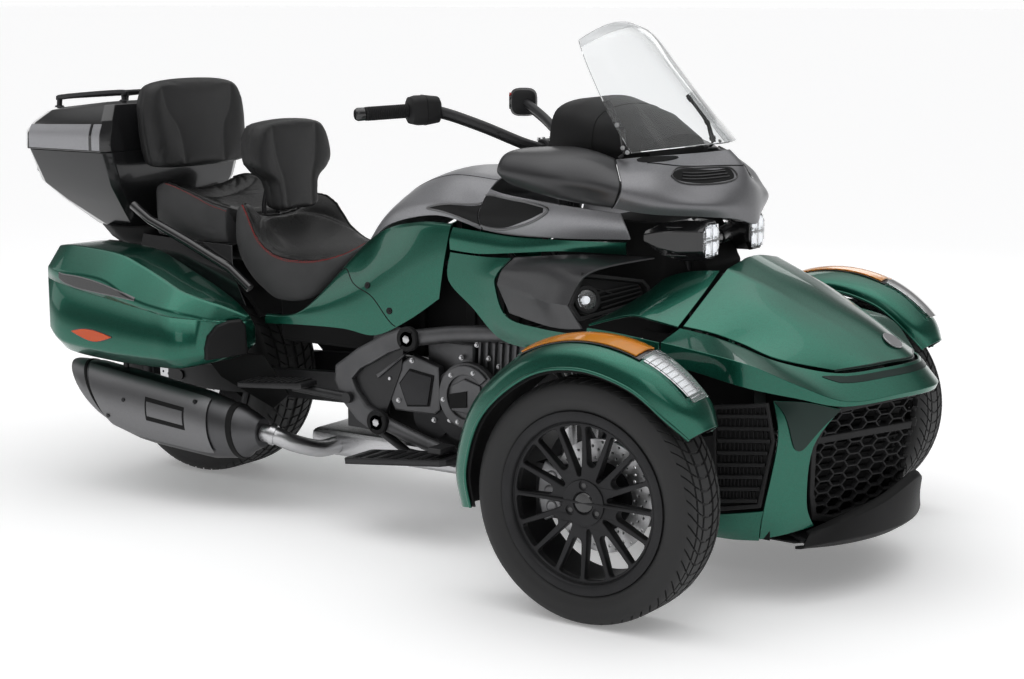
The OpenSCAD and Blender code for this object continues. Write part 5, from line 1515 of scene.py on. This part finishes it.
def seats():
    rim = [(0.3, 5.4), (0.9, 5.0), (2, 4.85), (3, 4.8), (4, 4.8), (5, 4.9), (6, 5.1), (6.6, 5.6), (6.7, 6.4),
           (6.6, 7.2), (6.5, 8)]
    bowl = ringLine(riderRings, rim)
    front = ringLine(riderRings, [(0.3, 5.4), (0.22, 6.4), (0.2, 8)])
    riderSkin = pad("riderSeatPad", [softLoft(riderRings)], "seat", "rider_seat", leftAlso([bowl, front]),
                    0.004, 0.008, lambda n: n.z < -0.35, hollowMarks(riderRings, 0.25, 6.6, 4.85))
    edge = ringLine(pillionRings, [(0.1, 5.1), (1, 4.95), (2, 4.9), (3, 4.95), (3.9, 5.2)])
    step = ringLine(pillionRings, [(2.5, 5.6), (2.42, 6.6), (2.4, 8)])
    pillionSkin = pad("pillionSeatPad", [softLoft(pillionRings)], "seat", "passenger_seat",
                      leftAlso([edge, step]), 0.004, 0.008, lambda n: n.z < -0.35,
                      hollowMarks(pillionRings, -1, 9, 5.1))
    riderSeam = [(-96, 1040), (-90, 980), (-80, 930), (-62, 880), (-54, 800)]
    pillionSeam = [(-150, 1146), (-134, 1070), (-98, 1018), (-86, 960), (-84, 902)]
    for rings, name, node, line in ((riderBack, "riderBackPad", "rider_backrest", riderSeam),
                                    (pillionBack, "pillionBackPad", "passenger_backrest", pillionSeam)):
        face = rings[0]
        foot, lean = face[0], (face[0][0] - face[9][0]) / (face[9][2] - face[0][2])
        seam = [(foot[0] - (z - foot[2]) * lean + 2, y, z) for y, z in smooth(line, 10)]
        lines = leftAlso([seam]) + [loop(rings[2], 8)]
        pad(name, [loft([loop(ring, 6) for ring in rings])], "backPad", node, lines, 0.003, 0.010,
            lambda n: n.x < -0.6)
    threads, cords = [], []
    for shift in (0.22, 0.42):
        line = ringLine(riderRings, [(u, v - shift) for u, v in rim[:7]], 14)
        threads += stitched(line, riderSkin) + stitched([flip(p) for p in line], riderSkin)
    low = ringLine(pillionRings, [(0.1, 4.4), (1, 4.4), (2, 4.4), (3, 4.4)], 14)
    threads += stitched(low, pillionSkin) + stitched([flip(p) for p in low], pillionSkin)
    addPiece("seatStitches", threads, "thread", angle=60)
    for line, skin in ((bowl, riderSkin), (edge, pillionSkin)):
        for side in (line, [flip(p) for p in line]):
            cords.append(tube([onSkin(skin, p, 0.8) for p in side], 3.2, 10))
    addPiece("seatPiping", cords, "leather", angle=60)


seats()
print("seats ready")


# cases, muffler and rack

caseSet = {"lean": 8.6, "gap": 0.8, "split": (rx(73), 0, 560), "wall": 0.004,
           "rings": [(376, 440, 526, -262, -312, 20, 24, 20), (320, 404, 562, -246, -396, 28, 38, 40),
                     (250, 388, 595, -236, -462, 32, 44, 52), (170, 384, 628, -232, -470, 34, 66, 60),
                     (90, 384, 660, -228, -473, 34, 78, 64), (0, 386, 688, -225, -474, 34, 68, 62),
                     (-160, 398, 698, -224, -472, 34, 68, 62), (-230, 424, 692, -226, -452, 40, 56, 50)],
           "insert": [(-1872, 0, 12), (-1850, -8, 12), (-1800, -11, 18), (-1745, -8, 20), (-1690, -4, 18),
                      (-1640, 0, 13), (-1586, 3, 6)],
           "diamond": [(-1826, 0, 1), (-1788, -12, 10), (-1750, -19, 12), (-1716, -15, 8), (-1674, -1, 0)]}


def caseRing(d, zl, zh, yi, yo, r, high, wide):  # high and wide are the bevel of the lid
    return [(rx(d), y, z)
            for y, z in [(yi, zl + 6), (yi - r, zl), (yo + r, zl), (yo, zl + r), (yo, zh - high),
                         (yo + wide, zh), (yi - r, zh - 2), (yi, zh - 36)]]


def rounded(part, width, angle, cut=None, keepUp=True):  # rounds the edges, and cuts by a plane if given
    work = bmesh.new()
    work.from_mesh(meshFrom("shape", [part]))
    bmesh.ops.recalc_face_normals(work, faces=work.faces)
    edges = [e for e in work.edges if len(e.link_faces) == 2 and e.calc_face_angle(0) > radians(angle)]
    bmesh.ops.bevel(work, geom=edges, offset=width, segments=3, profile=0.6, affect="EDGES",
                    clamp_overlap=True)
    if cut:
        point, normal = cut
        bmesh.ops.bisect_plane(work, geom=work.verts[:] + work.edges[:] + work.faces[:], plane_co=point,
                               plane_no=normal, clear_inner=keepUp, clear_outer=not keepUp)
    points = [v.co.copy() for v in work.verts]
    work.verts.index_update()
    faces = [tuple(v.index for v in f.verts) for f in work.faces]
    work.free()
    return points, faces


def hollow(piece, wall):
    step = piece.modifiers.new("wall", "SOLIDIFY")
    step.thickness = wall
    step.offset = -1


def sideCases(s):
    t = radians(s["lean"])
    normal = Vector((sin(t), 0, cos(t)))
    point = mm(s["split"])
    rings = turned([smooth(line, 5, (1,)) for line in turned([caseRing(*r) for r in s["rings"]])])
    box = loft(rings)
    low = rounded(box, 0.007, 24, (point, normal), False)
    high = rounded(box, 0.007, 24, (point + normal * s["gap"] / 1000, normal), True)
    hollow(addPiece("sideCaseBins", pair(low), "green", nodes=["side_cases"]), s["wall"])
    for name, part in (("Right", high), ("Left", mirrored(high))):
        lid = "case_lid_" + name.lower()
        hollow(addPiece("caseLidShell" + name, [part], "green", lid, [lid]), s["wall"])
    skin = BVHTree.FromPolygons([Vector(p) for p in box[0]], box[1])

    def onCase(stations, base, lean, grow, lift):  # a plate laid on the outer side
        net = []
        for k in range(5):
            row = []
            for x, down, up in smooth(stations, 5):
                middle = base - (x - rx(0)) * lean
                z = middle + (down - grow) + (up - down + 2 * grow) * k / 4
                hit = skin.ray_cast(mm((x, -700, z)), Vector((0, 1, 0)))[0]
                row.append((x, hit.y * 1000 - lift, z))
            net.append(row)
        return panel(net, lift + 3)

    for name, flat in (("Right", lambda p: p), ("Left", mirrored)):
        lid = "case_lid_" + name.lower()
        rim, fill = onCase(s["insert"], 588, 0.1512, 3.4, 1.6), onCase(s["insert"], 588, 0.1512, 0, 2.4)
        addPiece("caseInsertRim" + name, [flat(rim)], "pale", lid, bevel=0.0006)
        addPiece("caseInsert" + name, [flat(fill)], "gloss", lid, bevel=0.0004)
    addPiece("caseReflectors", pair(onCase(s["diamond"], 462, 0.02, 0, 4.0)), "orange", bevel=0.0015)
    addPiece("caseReflectorRims", pair(onCase(s["diamond"], 462, 0.02, 2.5, 1.6)), "gloss", bevel=0.0004)
    shape = [(-58, 414), (60, 424), (56, 505), (44, 521), (8, 519), (-26, 508), (-52, 480), (-60, 446)]
    front = [[(-1362 + u * k * 0.555 + d * 0.832, -356 + u * k * 0.832 - d * 0.555, 466 + (z - 466) * k)
              for u, z in shape] for d, k in ((-14, 1), (8, 1), (14, 0.93))]
    addPiece("caseLatches", pair(rounded(loft(front), 0.006, 20)), "trim")


def planRing(z, rear, front, wide, drop=0.0):  # the case from above, with its rear corners drawn in
    half = [(front, 0.90), (front - 14, 1.0), (rear + 132, 1.0), (rear + 62, 0.80), (rear, 0.50)]
    ring = [(x, -wide * y) for x, y in half]
    ring += [(x, -y) for x, y in reversed(ring)]
    return [(x, y, z - drop * (front - x) / (front - rear)) for x, y in ring]


topSet = {"bin": [(722, -2110, -1866, 165), (800, -2215, -1856, 225), (850, -2264, -1851, 262),
                  (949.6, -2282, -1849, 300)],
          "lid": [(951, -2290, -1849, 304, 0), (1000, -2288, -1851, 303, 4), (1040, -2268, -1856, 288, 18),
                  (1084, -2232, -1872, 256, 34), (1092, -2208, -1892, 232, 36)], "wall": 5}


def inward(row, wall, up=0):
    return (row[0] + up, row[1] + wall, row[2] - wall, row[3] - wall) + tuple(row[4:])


def topCase(s):
    low = [planRing(*row) for row in s["bin"]]
    low += [planRing(*inward(row, s["wall"], 6 if row[0] < 730 else 0)) for row in reversed(s["bin"])]
    addPiece("topCaseBin", [rounded(loft(low), 0.006, 18)], "greyGloss", nodes=["top_case"],
             angle=26)
    high = [planRing(*inward(row, s["wall"], -9 if row[0] > 1060 else 0)) for row in reversed(s["lid"][:4])]
    high += [planRing(*row) for row in s["lid"]]
    addPiece("topCaseCover", [rounded(loft(high), 0.005, 18)], "gloss", "top_case_lid", ["top_case_lid"],
             angle=26)
    plates = []
    for x0, x1 in ((-2150, -1908), (-1897, -1866)):
        net = []
        for z, y, drop in ((956, -304, 0), (1000, -303, 3), (1032, -291.2, 14)):
            net.append([(x, y - 1.2, z - drop * (-1851 - x) / 437) for x in (x0, (x0 + x1) / 2, x1)])
        plates += pair(panel(fine(net, 4, 4), 3))
    addPiece("topCasePanels", plates, "panelGrey", "top_case_lid", bevel=0.0012)
    latch = loft([[(rx(-580) - d, y, z) for y, z in ((-46, 953), (46, 953), (40, 990), (-40, 990))]
                  for d in (-4, 6)])
    addPiece("topCaseLatch", [rounded(latch, 0.003, 20)], "trim", "top_case_lid")
    rail = [(-1914, -150, 1086), (-1915, -150, 1104), (-1928, -150, 1114), (-2172, -140, 1094),
            (-2188, -140, 1084), (-2190, -140, 1060)]
    rails = pair(tube(smooth(rail, 8), 8, 20))
    for x in (-1959, -2049, -2139):
        z = 1114 + (x + 1928) * 20 / 244
        rails.append(tube([(x, -146, z), (x, 146, z)], 7, 20))
    feet = pair(*[tube([(x, y, z), (x, y, z + 5)], [15, 12], 24)
                  for x, y, z in ((-1914, -150, 1088), (-2190, -140, 1063))])
    addPiece("rackBars", rails + feet, "frame", "top_case_lid", ["luggage_rack"],
             angle=40)
    cover = [[(-1815, -188, 712), (-1640, -196, 706), (-1478, -186, 700)],
             [(-1815, -206, 650), (-1640, -212, 640), (-1450, -212, 630)],
             [(-1815, -214, 590), (-1640, -216, 560), (-1400, -222, 540)]]
    addPiece("tailCovers", pair(panel(fine(cover, 6, 6), 4)), "gloss", bevel=0.0012)
    filler = loft([planRing(z, rear, -1800, wide)
                   for z, rear, wide in ((650, -1990, 150), (690, -2050, 178), (728, -2090, 184))])
    plate = cutPlate([(-1575, 408), (-1330, 408), (-1245, 306), (-1300, 262), (-1490, 330)], 6, 2.0,
                     sideOn(-232))
    addPiece("tailBlock", [rounded(filler, 0.012, 20)] + pair(plate), "deep")


mufflerSet = {"stations": [(452, -330, 215, 34, 40), (400, -345, 216, 58, 72), (300, -358, 226, 68, 92),
                           (100, -378, 252, 73, 98), (-80, -396, 277, 70, 96), (-190, -406, 292, 58, 80)],
              "slant": 0.74, "draw": 88}


def mufflerRing(row, grow=0.0, n=48):
    d, y, z, w, h = row
    ring = []
    for k in range(n):
        a = 2 * pi * k / n
        late = min(1, max(0, (60 - d) / 250))  # the end is cut at a slant
        lean = (h + grow) * sin(a) * (0.16 + mufflerSet["slant"] * late) - mufflerSet["draw"] * late
        x = rx(d) if d > 420 else rx(d) - lean
        ring.append((x, y + (w + grow) * cos(a), z + (h + grow) * sin(a)))
    return ring


def mufflerAt(d, grow=0.0, n=48):
    rows = mufflerSet["stations"]
    for a, b in zip(rows, rows[1:]):
        if b[0] <= d <= a[0]:
            t = (a[0] - d) / (a[0] - b[0])
            return mufflerRing([p + (q - p) * t for p, q in zip(a, b)], grow, n)
    return mufflerRing(rows[-1], grow, n)


def muffler():
    steps = (452, 436, 420.1, 400, 370, 340, 300, 250, 200, 150, 100, 50, 0, -40, -80, -110, -140, -165, -190)
    body = [mufflerAt(d) for d in steps]
    inner = [mufflerAt(-190, -4), mufflerAt(-180, -8)]
    addPiece("mufflerCan", [loft(body + inner)], "darkSteel", nodes=["muffler"], bevel=0.0015, angle=26)
    bands = []
    for d, w in ((-118, 7), (392, 9)):
        rows = ((w, 0.2), (w - 2, 2.4), (2 - w, 2.4), (-w, 0.2))
        bands.append(loft([mufflerAt(d + k, grow) for k, grow in rows], False))
    addPiece("mufflerBands", bands, "deep", bevel=0.0006)
    rows = ((-124, 1.0), (-150, 2.0), (-178, 1.6), (-190, -1.0), (-190, -7.0))
    cap = loft([mufflerAt(*row) for row in rows], False)
    addPiece("mufflerCap", [cap], "mid", bevel=0.001, angle=28)
    n = 96
    first, last = 31, 60  # the stretch of the ring that faces right

    def shieldNet(stations, low, high, grow):
        return [[mufflerAt(d, grow, n)[k % n] for k in range(low, high + 1)] for d in stations]

    shield = shieldNet((330, 310, 270, 220, 170, 120, 70, 20, -30, -70, -96), first, last, 3.4)
    addPiece("mufflerShield", [panel(shield, 3)], "mid", bevel=0.0012)
    slotOuter = shieldNet((262, 240, 210, 180, 150, 132), 40, 50, 4.6)
    slotInner = shieldNet((256, 240, 210, 180, 150, 138), 42, 48, 5.4)
    addPiece("mufflerSlotRim", [panel(slotOuter, 2)], "deep", bevel=0.0008)
    addPiece("mufflerSlot", [panel(slotInner, 2)], "mid", bevel=0.0008)
    bolts = []
    for d, k in ((60, 44), (290, 36), (-60, 54)):
        at, far = Vector(mufflerAt(d, 3.4, n)[k]), Vector(mufflerAt(d, 8.4, n)[k])
        bolts += boltHead(at, far - at, 6, 6)
    addPiece("mufflerBolts", bolts, "frame")
    pipe = smooth([(rx(559), -150.5, 160), (rx(557), -220, 164), (rx(529), -290, 188), (rx(496), -330, 213),
                   (rx(458), -330, 215)], 8)
    headers = []
    for k in (-1, 0, 1):
        run = [(-443, k * 120, 448), (-414, k * 119, 420), (-410, k * 112, 300), (-424, k * 96, 206),
               (-480, k * 70 - 20, 164), (-561.3, k * 56 - 40, 160)]
        headers.append(tube(smooth(run, 8), 19, 24))
    box = rounded(block(rx(469), -562, -150, 60, 128, 199.5), 0.022, 20)
    clamp = tube([pipe[-9], pipe[-8], pipe[-7]], 28, 28)
    addPiece("exhaustRun", [tube(pipe, 24, 28), box, clamp] + headers, "steel", nodes=["exhaust_pipes"],
             angle=34)


sideCases(caseSet)
topCase(topSet)
muffler()
print("cases and muffler ready")


# engine bay, boards, bars and small fittings

engineSet = {
    "cover": (-637, 370),
    "hex": [(-919, 394), (-816, 462), (-731, 437), (-728, 324), (-744, 309), (-875, 307)],
    "window": [(-858, 383), (-824, 425), (-745, 414), (-760, 330), (-832, 322)],
    "hexBolts": [(-816, 447), (-887, 392), (-861, 336)],
    "smallBolts": [(-683, 463), (-597, 469), (-566, 451), (-634, 501), (-751, 294), (-700, 300)],
    "pivots": [(-813, 508), (-915, 274)],
    "bracket": [(-800, 532), (-840, 534), (-898, 512), (-986, 466), (-1060, 414), (-1064, 371), (-1031, 309),
                (-989, 269), (-943, 247), (-902, 246), (-888, 272), (-900, 296), (-922, 301), (-955, 314),
                (-988, 352), (-1002, 382), (-974, 412), (-941, 428), (-882, 462), (-841, 478), (-800, 482),
                (-784, 506)],
    "strip": [(-829, 468), (-836, 458), (-922, 390), (-930, 399)],
}


def engineBay(s):
    cx, cz = s["cover"]

    def bow(r, a0, a1):
        step = 8 if a1 > a0 else -8
        return [(cx + r * cos(radians(a)), cz + r * sin(radians(a)))
                for a in range(a0, a1 + (1 if step > 0 else -1), step)]
    disc = cutPlate(ringOf(cx, cz, 90, 72), 22, 4.0, sideOn(-236))
    ring = cutPlate(bow(84, 40, 320) + bow(58, 320, 40), 12, 3.0, sideOn(-250))
    hub = cutPlate([(cx - 46, cz - 40), (cx + 40, cz - 46), (cx + 52, cz - 10), (cx + 44, cz + 34),
                    (cx - 6, cz + 48), (cx - 46, cz + 26)], 10, 3.0, sideOn(-249))
    hexPlate = cutPlate(s["hex"], 26, 5.0, sideOn(-228))
    slope = [(x * 0.92 - 805 * 0.08, z * 0.92 + 374 * 0.08) for x, z in s["window"]]
    heads = [rounded(block(x0, x1, -196, -40, z0, z1), 0.012, 20)
             for x0, x1, z0, z1 in ((-800, -650, 396, 500), (-640, -486, 396, 520))]
    rib = [(-632, 420), (-625, 420), (-620, 512), (-628, 512)]
    ribs = [cutPlate([(x + k * 22, z) for x, z in rib], 14, 2.0, sideOn(-200)) for k in range(6)]
    addPiece("engineCovers", pair(disc, ring, hub, hexPlate, *heads, *ribs), "alloyDark")
    inset = [cutPlate(s["window"], 3, 0.8, sideOn(-242)),
             cutPlate([(cx - 50, cz + 4), (cx + 5, cz + 17), (cx + 5, cz - 26), (cx - 48, cz - 34)], 4, 1.0,
                      sideOn(-255))]
    addPiece("engineInsets", pair(*inset), "deep")
    addPiece("engineSlopes", pair(cutPlate(slope, 6, 2.4, sideOn(-244))), "cast")
    bolts = []
    for a in (70, 130, 190, 250, 310):
        bolts += sideBolt(cx + 71 * cos(radians(a)), -255, cz + 71 * sin(radians(a)), 4.4, 6)
    for x, z in s["hexBolts"]:
        bolts += sideBolt(x, -241, z, 5, 7)
    for x, z in s["smallBolts"]:
        bolts += sideBolt(x, -204 if z > 440 else -233, z, 5, 8)
    addPiece("engineBolts", pair(*bolts), "steel")
    brackets = [cutPlate(s["bracket"], 26, 7.0, sideOn(-248)), cutPlate(s["strip"], 12, 3.0, sideOn(-246))]
    addPiece("pivotBrackets", pair(*brackets), "alloyDark")
    rims, caps = [], []
    for x, z in s["pivots"]:
        rims.append(tube([(x, -256, z), (x, -268, z), (x, -271, z), (x, -271, z), (x, -266, z)],
                         [33, 33, 30, 20, 17], 44))
        caps += sideBolt(x, -265, z, 11, 9)
    addPiece("pivotRims", pair(*rims), "rubber")
    addPiece("pivotBolts", pair(*caps), "steel")
    rails = [tube(smooth([(-813, -238, 507), (-740, -240, 520), (-679, -240, 530), (-554, -236, 543),
                          (-450, -218, 552)], 6), 22, 26),
             tube(smooth([(-915, -244, 272), (-818, -242, 243), (-737, -240, 221), (-640, -236, 200),
                          (-540, -226, 186)], 6), 19, 24)]
    addPiece("sideTubes", pair(*rails), "alloyDark", angle=40)
    # dark blocks in the bay: the air box, and dark fillers that are painted shade where the bay would
    # otherwise show through
    sizes = ((-840, -500, 150, 512, 690), (-1330, -835, 165, 440, 620), (-940, -690, 190, 214, 334))
    box = [rounded(block(x0, x1, -y, y, z0, z1), 0.02, 20) for x0, x1, y, z0, z1 in sizes]
    rows = ((-30, 96, 640, 740), (-120, 150, 560, 846), (-300, 165, 540, 850), (-470, 160, 540, 770))
    core = [[(x, y * w, z) for y, z in rect(-1, 1, low, high)] for x, w, low, high in rows]
    box.append(rounded(loft(core), 0.01, 20))
    lids = [rounded(block(-700 + k * 46, -672 + k * 46, -158, -146, 540, 660), 0.004, 20) for k in range(4)]
    addPiece("airBoxShadeFill", box + pair(*lids), "deep")
    sump = [rounded(block(-770, -520, -150, 150, 176, 204), 0.008, 20)]
    sump += [rounded(block(-590 + k * 18, -580 + k * 18, -140, 140, 168, 180), 0.003, 20) for k in range(4)]
    addPiece("sumpPlate", sump, "alloyDark")


def boards():
    t = radians(6)
    deck = onPlane((-930, -395, 186), (cos(t), 0, sin(t)), (0, 1, 0))
    outline = [(8, 0), (312, 0), (326, 10), (330, 24), (330, 104), (322, 120), (300, 125), (10, 125),
               (0, 116), (0, 8)]
    hole = [(26, 12), (44, 12), (46, 16), (46, 109), (44, 113), (26, 113), (24, 109), (24, 16)]
    slots = [[(x + k * 42, y) for x, y in hole] for k in range(7)]
    plate = cutPlate(outline, 14, 2.6, raised(deck, 7), slots)
    tray = cutPlate(outline, 3, 0.6, raised(deck, -0.5))
    t2 = radians(5)
    rear = onPlane((-1345, -345, 334), (cos(t2), 0, sin(t2)), (0, 1, 0))
    rearOut = [(14, 0), (210, 0), (228, 12), (235, 34), (232, 74), (214, 90), (190, 92), (16, 92), (2, 78),
               (0, 16)]
    step = cutPlate(rearOut, 14, 3.2, raised(rear, 7))
    arms = [tube([(-850, -300, 195), (-850, -228.2, 190)], 9, 18),
            tube([(-690, -300, 207), (-690, -228.6, 182)], 9, 18),
            tube([(-1180, -290, 345), (-1012, -262, 330)], 12, 20),
            tube([(-1012, -276, 330), (-1012, -246.5, 330)], 15, 24)]
    addPiece("boardPlates", pair(plate, tray, step, *arms), "frame", nodes=["footboards"], angle=32)
    pads = []
    for k in range(7):
        for m in range(3):
            x = 28 + k * 42 + m * 6
            pads.append(cutPlate(rect(x, x + 4, 18, 107), 12, 1.2, raised(deck, 9.5)))
    for k in range(9):
        x = 22 + k * 22
        pads.append(cutPlate(rect(x, x + 12, 12, 80), 6, 1.6, raised(rear, 15)))
    addPiece("boardPads", pair(*pads), "rubber")
    pedal = [tube(smooth([(-600, -262, 252), (-628, -290, 236), (-650, -320, 246)], 6), 8, 16),
             rounded(block(-676, -632, -372, -306, 240, 256), 0.005, 20)]
    addPiece("footPedal", pedal, "frame")


barPivot = (-530, 0, 1000)
barPath = [(-2, -52, 4), (-38, -96, 22), (-118, -150, 62), (-198, -195, 94), (-239, -222, 103),
           (-262, -256, 102)]
gripEnd = (-336, -366, 96)


def squarish(share):  # rounds a circle out towards a box
    return copysign(abs(share) ** 0.6, share)


def handleBar():
    def at(p):
        return tuple(a + b for a, b in zip(barPivot, p))
    half = [at(gripEnd)] + list(reversed(smooth([at(p) for p in barPath], 8)))
    run = half + [at((-2, 0, 4))]
    line = [Vector(p) for p in run] + [Vector(flip(p)) for p in reversed(run[:-1])]
    lean = radians(20)
    axis = Vector((-sin(lean), 0, cos(lean)))
    top = Vector(barPivot)
    core = [tube([top - axis * 124, top], 14, 28),
            spindle(top, axis, (-52, -48, 22, 26), [32, 34, 34, 30], 40)]
    clamp = tube([(-532, -52, 1004), (-532, -49, 1004), (-532, 49, 1004), (-532, 52, 1004)],
                 [21, 24, 24, 21], 36)
    bolts = []
    for y in (-40, -18, 18, 40):
        for x in (-551, -513):
            bolts += boltHead((x, y, 1022), (0, 0, 1), 4.5, 8)
    radii = [10] + [12] * (len(line) - 2) + [10]
    addPiece("barTube", core + [clamp, tube(line, radii, 24)], "frame", "handlebar", ["handlebar"], 0.0008,
             angle=38)
    addPiece("barBolts", bolts, "steel", "handlebar")
    a, end = Vector(at(barPath[5])), Vector(at(gripEnd))
    d = (end - a).normalized()
    far = (end - a).length
    path, radius = [a + d * 12], [16]
    rings = 22
    for k in range(rings):
        s0 = 20 + (far - 26) * k / rings
        width = (far - 26) / rings
        for share, r in ((0.0, 16.2), (0.12, 18), (0.72, 18), (0.86, 16.2)):
            path.append(a + d * (s0 + width * share))
            radius.append(r)
    path += [end - d * 4, end]
    radius += [18, 17]
    grip = tube(path, radius, 26)
    flange = spindle(a, d, (10, 12, 15, 17), [20, 23, 23, 20], 30)
    weight = spindle(end, d, (0.5, 3, 20, 26), [15, 17, 17, 13], 30)
    addPiece("gripSleeves", pair(grip, flange), "rubber", "handlebar", ["grips"], 0.0004,
             angle=38)
    addPiece("barWeights", pair(weight), "gloss", "handlebar", bevel=0.0006, angle=38)
    b = Vector(at(barPath[4]))
    e = (a - b).normalized()
    side = e.cross(Vector((0, 0, 1))).normalized()
    up = side.cross(e)
    box = []
    for s0, w, h in ((-26, 24, 24), (-20, 33, 34), (10, 37, 38), (36, 37, 38), (52, 33, 34), (58, 24, 24)):
        c = b + e * s0
        box.append([c + side * (w * squarish(cos(t))) + up * (h * squarish(sin(t)))
                    for t in [2 * pi * k / 32 for k in range(32)]])
    split = [b + e * 16 + side * (37.2 * squarish(cos(t))) + up * (38.2 * squarish(sin(t)))
             for t in [2 * pi * k / 40 for k in range(41)]]
    addPiece("switchBlocks", pair(loft(box)), "grain", "handlebar", ["switch_housings"], 0.0012,
             angle=38)
    back = -side if side.x > 0 else side
    keys = []
    for s0, h, size in ((4, 12, 5), (4, -10, 5), (22, 13, 6), (22, -2, 5.5), (22, -15, 4.5), (38, 6, 5),
                        (38, -10, 4.5)):
        c = b + e * s0 + back * 34.5 + up * h
        keys.append(tube([c, c + back * 4, c + back * 5.4], [size, size, size * 0.72], 20))
    addPiece("switchKeys", pair(*keys), "greyGloss", "handlebar")
    addPiece("switchSeams", pair(tube(split, 0.9, 6)), "deep", "handlebar", angle=60)
    key = [flip(b + e * 12 + back * 33 + up * 20), flip(b + e * 12 + back * 40 + up * 21)]
    addPiece("startKey", [tube(key, 5.5, 20)], "red", "handlebar")
    cable = [p - Vector((0, 0, 15)) for p in line[6:len(half) - 2]]  # clipped under the bar
    addPiece("barLines", pair(tube(cable, 4.2, 10)), "rubber", "handlebar", angle=60)
    clips = [tube([cable[k], cable[k] + Vector((0, 0, 15))], [6.5, 13.2], 14)
             for k in (len(cable) // 4, len(cable) * 2 // 3)]
    addPiece("barClips", pair(*clips), "rubber", "handlebar", angle=40)


def shocks():
    low, top = Vector((0, -446, 218)), Vector((0, -268, 548))
    d = (top - low).normalized()
    side = d.cross(Vector((1, 0, 0))).normalized()
    fore = d.cross(side)
    coil = []
    turns, steps = 7.5, 30
    for k in range(int(turns * steps) + 1):
        t = 2 * pi * k / steps
        coil.append(low + d * (152 + 172 * k / (turns * steps)) + (side * cos(t) + fore * sin(t)) * 30.5)
    spring = tube(coil, 5.6, 10)
    body = spindle(low, d, (40, 44, 146, 150), [24, 26, 26, 24], 32)
    rod = tube([low, top], 12, 24)
    seatLow = spindle(low, d, (144, 147, 151, 153), [34, 36, 36, 30], 36)
    seatTop = spindle(low, d, (324, 326, 331, 334), [30, 36, 36, 26], 36)
    inner = spindle(low, d, (150, 330), 22, 28)
    eye = tube([(-24, -446, 218), (24, -446, 218)], 17, 28)
    head = tube([(0, -268, 548), (0, -224.3, 548)], 16, 28)
    addPiece("shockBodies", pair(body, rod, seatLow, seatTop, inner, eye, head), "cast",
             nodes=["front_shocks"], bevel=0.0008, angle=38)
    addPiece("shockSprings", pair(spring), "frame", angle=60)


def tailPieces():
    lower = onPlane((rx(-559) - 0.4, 150, 870), (0, -1, 0), (-18, 0, 100))
    lens = cutPlate([(6, 0), (294, 0), (300, 8), (300, 38), (292, 46), (8, 46), (0, 38), (0, 8)], 8, 2.6,
                    raised(lower, 4))
    addPiece("tailLens", [lens], "red", nodes=["tail_lamps"])
    ribs = [cutPlate(rect(12 + k * 12.4, 16 + k * 12.4, 6, 40), 4, 0.8, raised(lower, 7.6))
            for k in range(23)]
    addPiece("tailRibs", ribs, "red")
    outer = [(0, -6), (300, -6), (308, 2), (308, 44), (298, 53), (2, 53), (-8, 44), (-8, 2)]
    inner = [(6, -0.5), (294, -0.5), (300.5, 8), (300.5, 38), (292, 46.5), (8, 46.5), (-0.5, 38), (-0.5, 8)]
    addPiece("tailBezel", [cutPlate(outer, 9, 2.0, raised(lower, 3.5), [inner])], "gloss")


engineBay(engineSet)
boards()
handleBar()
shocks()
tailPieces()
print("engine bay and fittings ready")
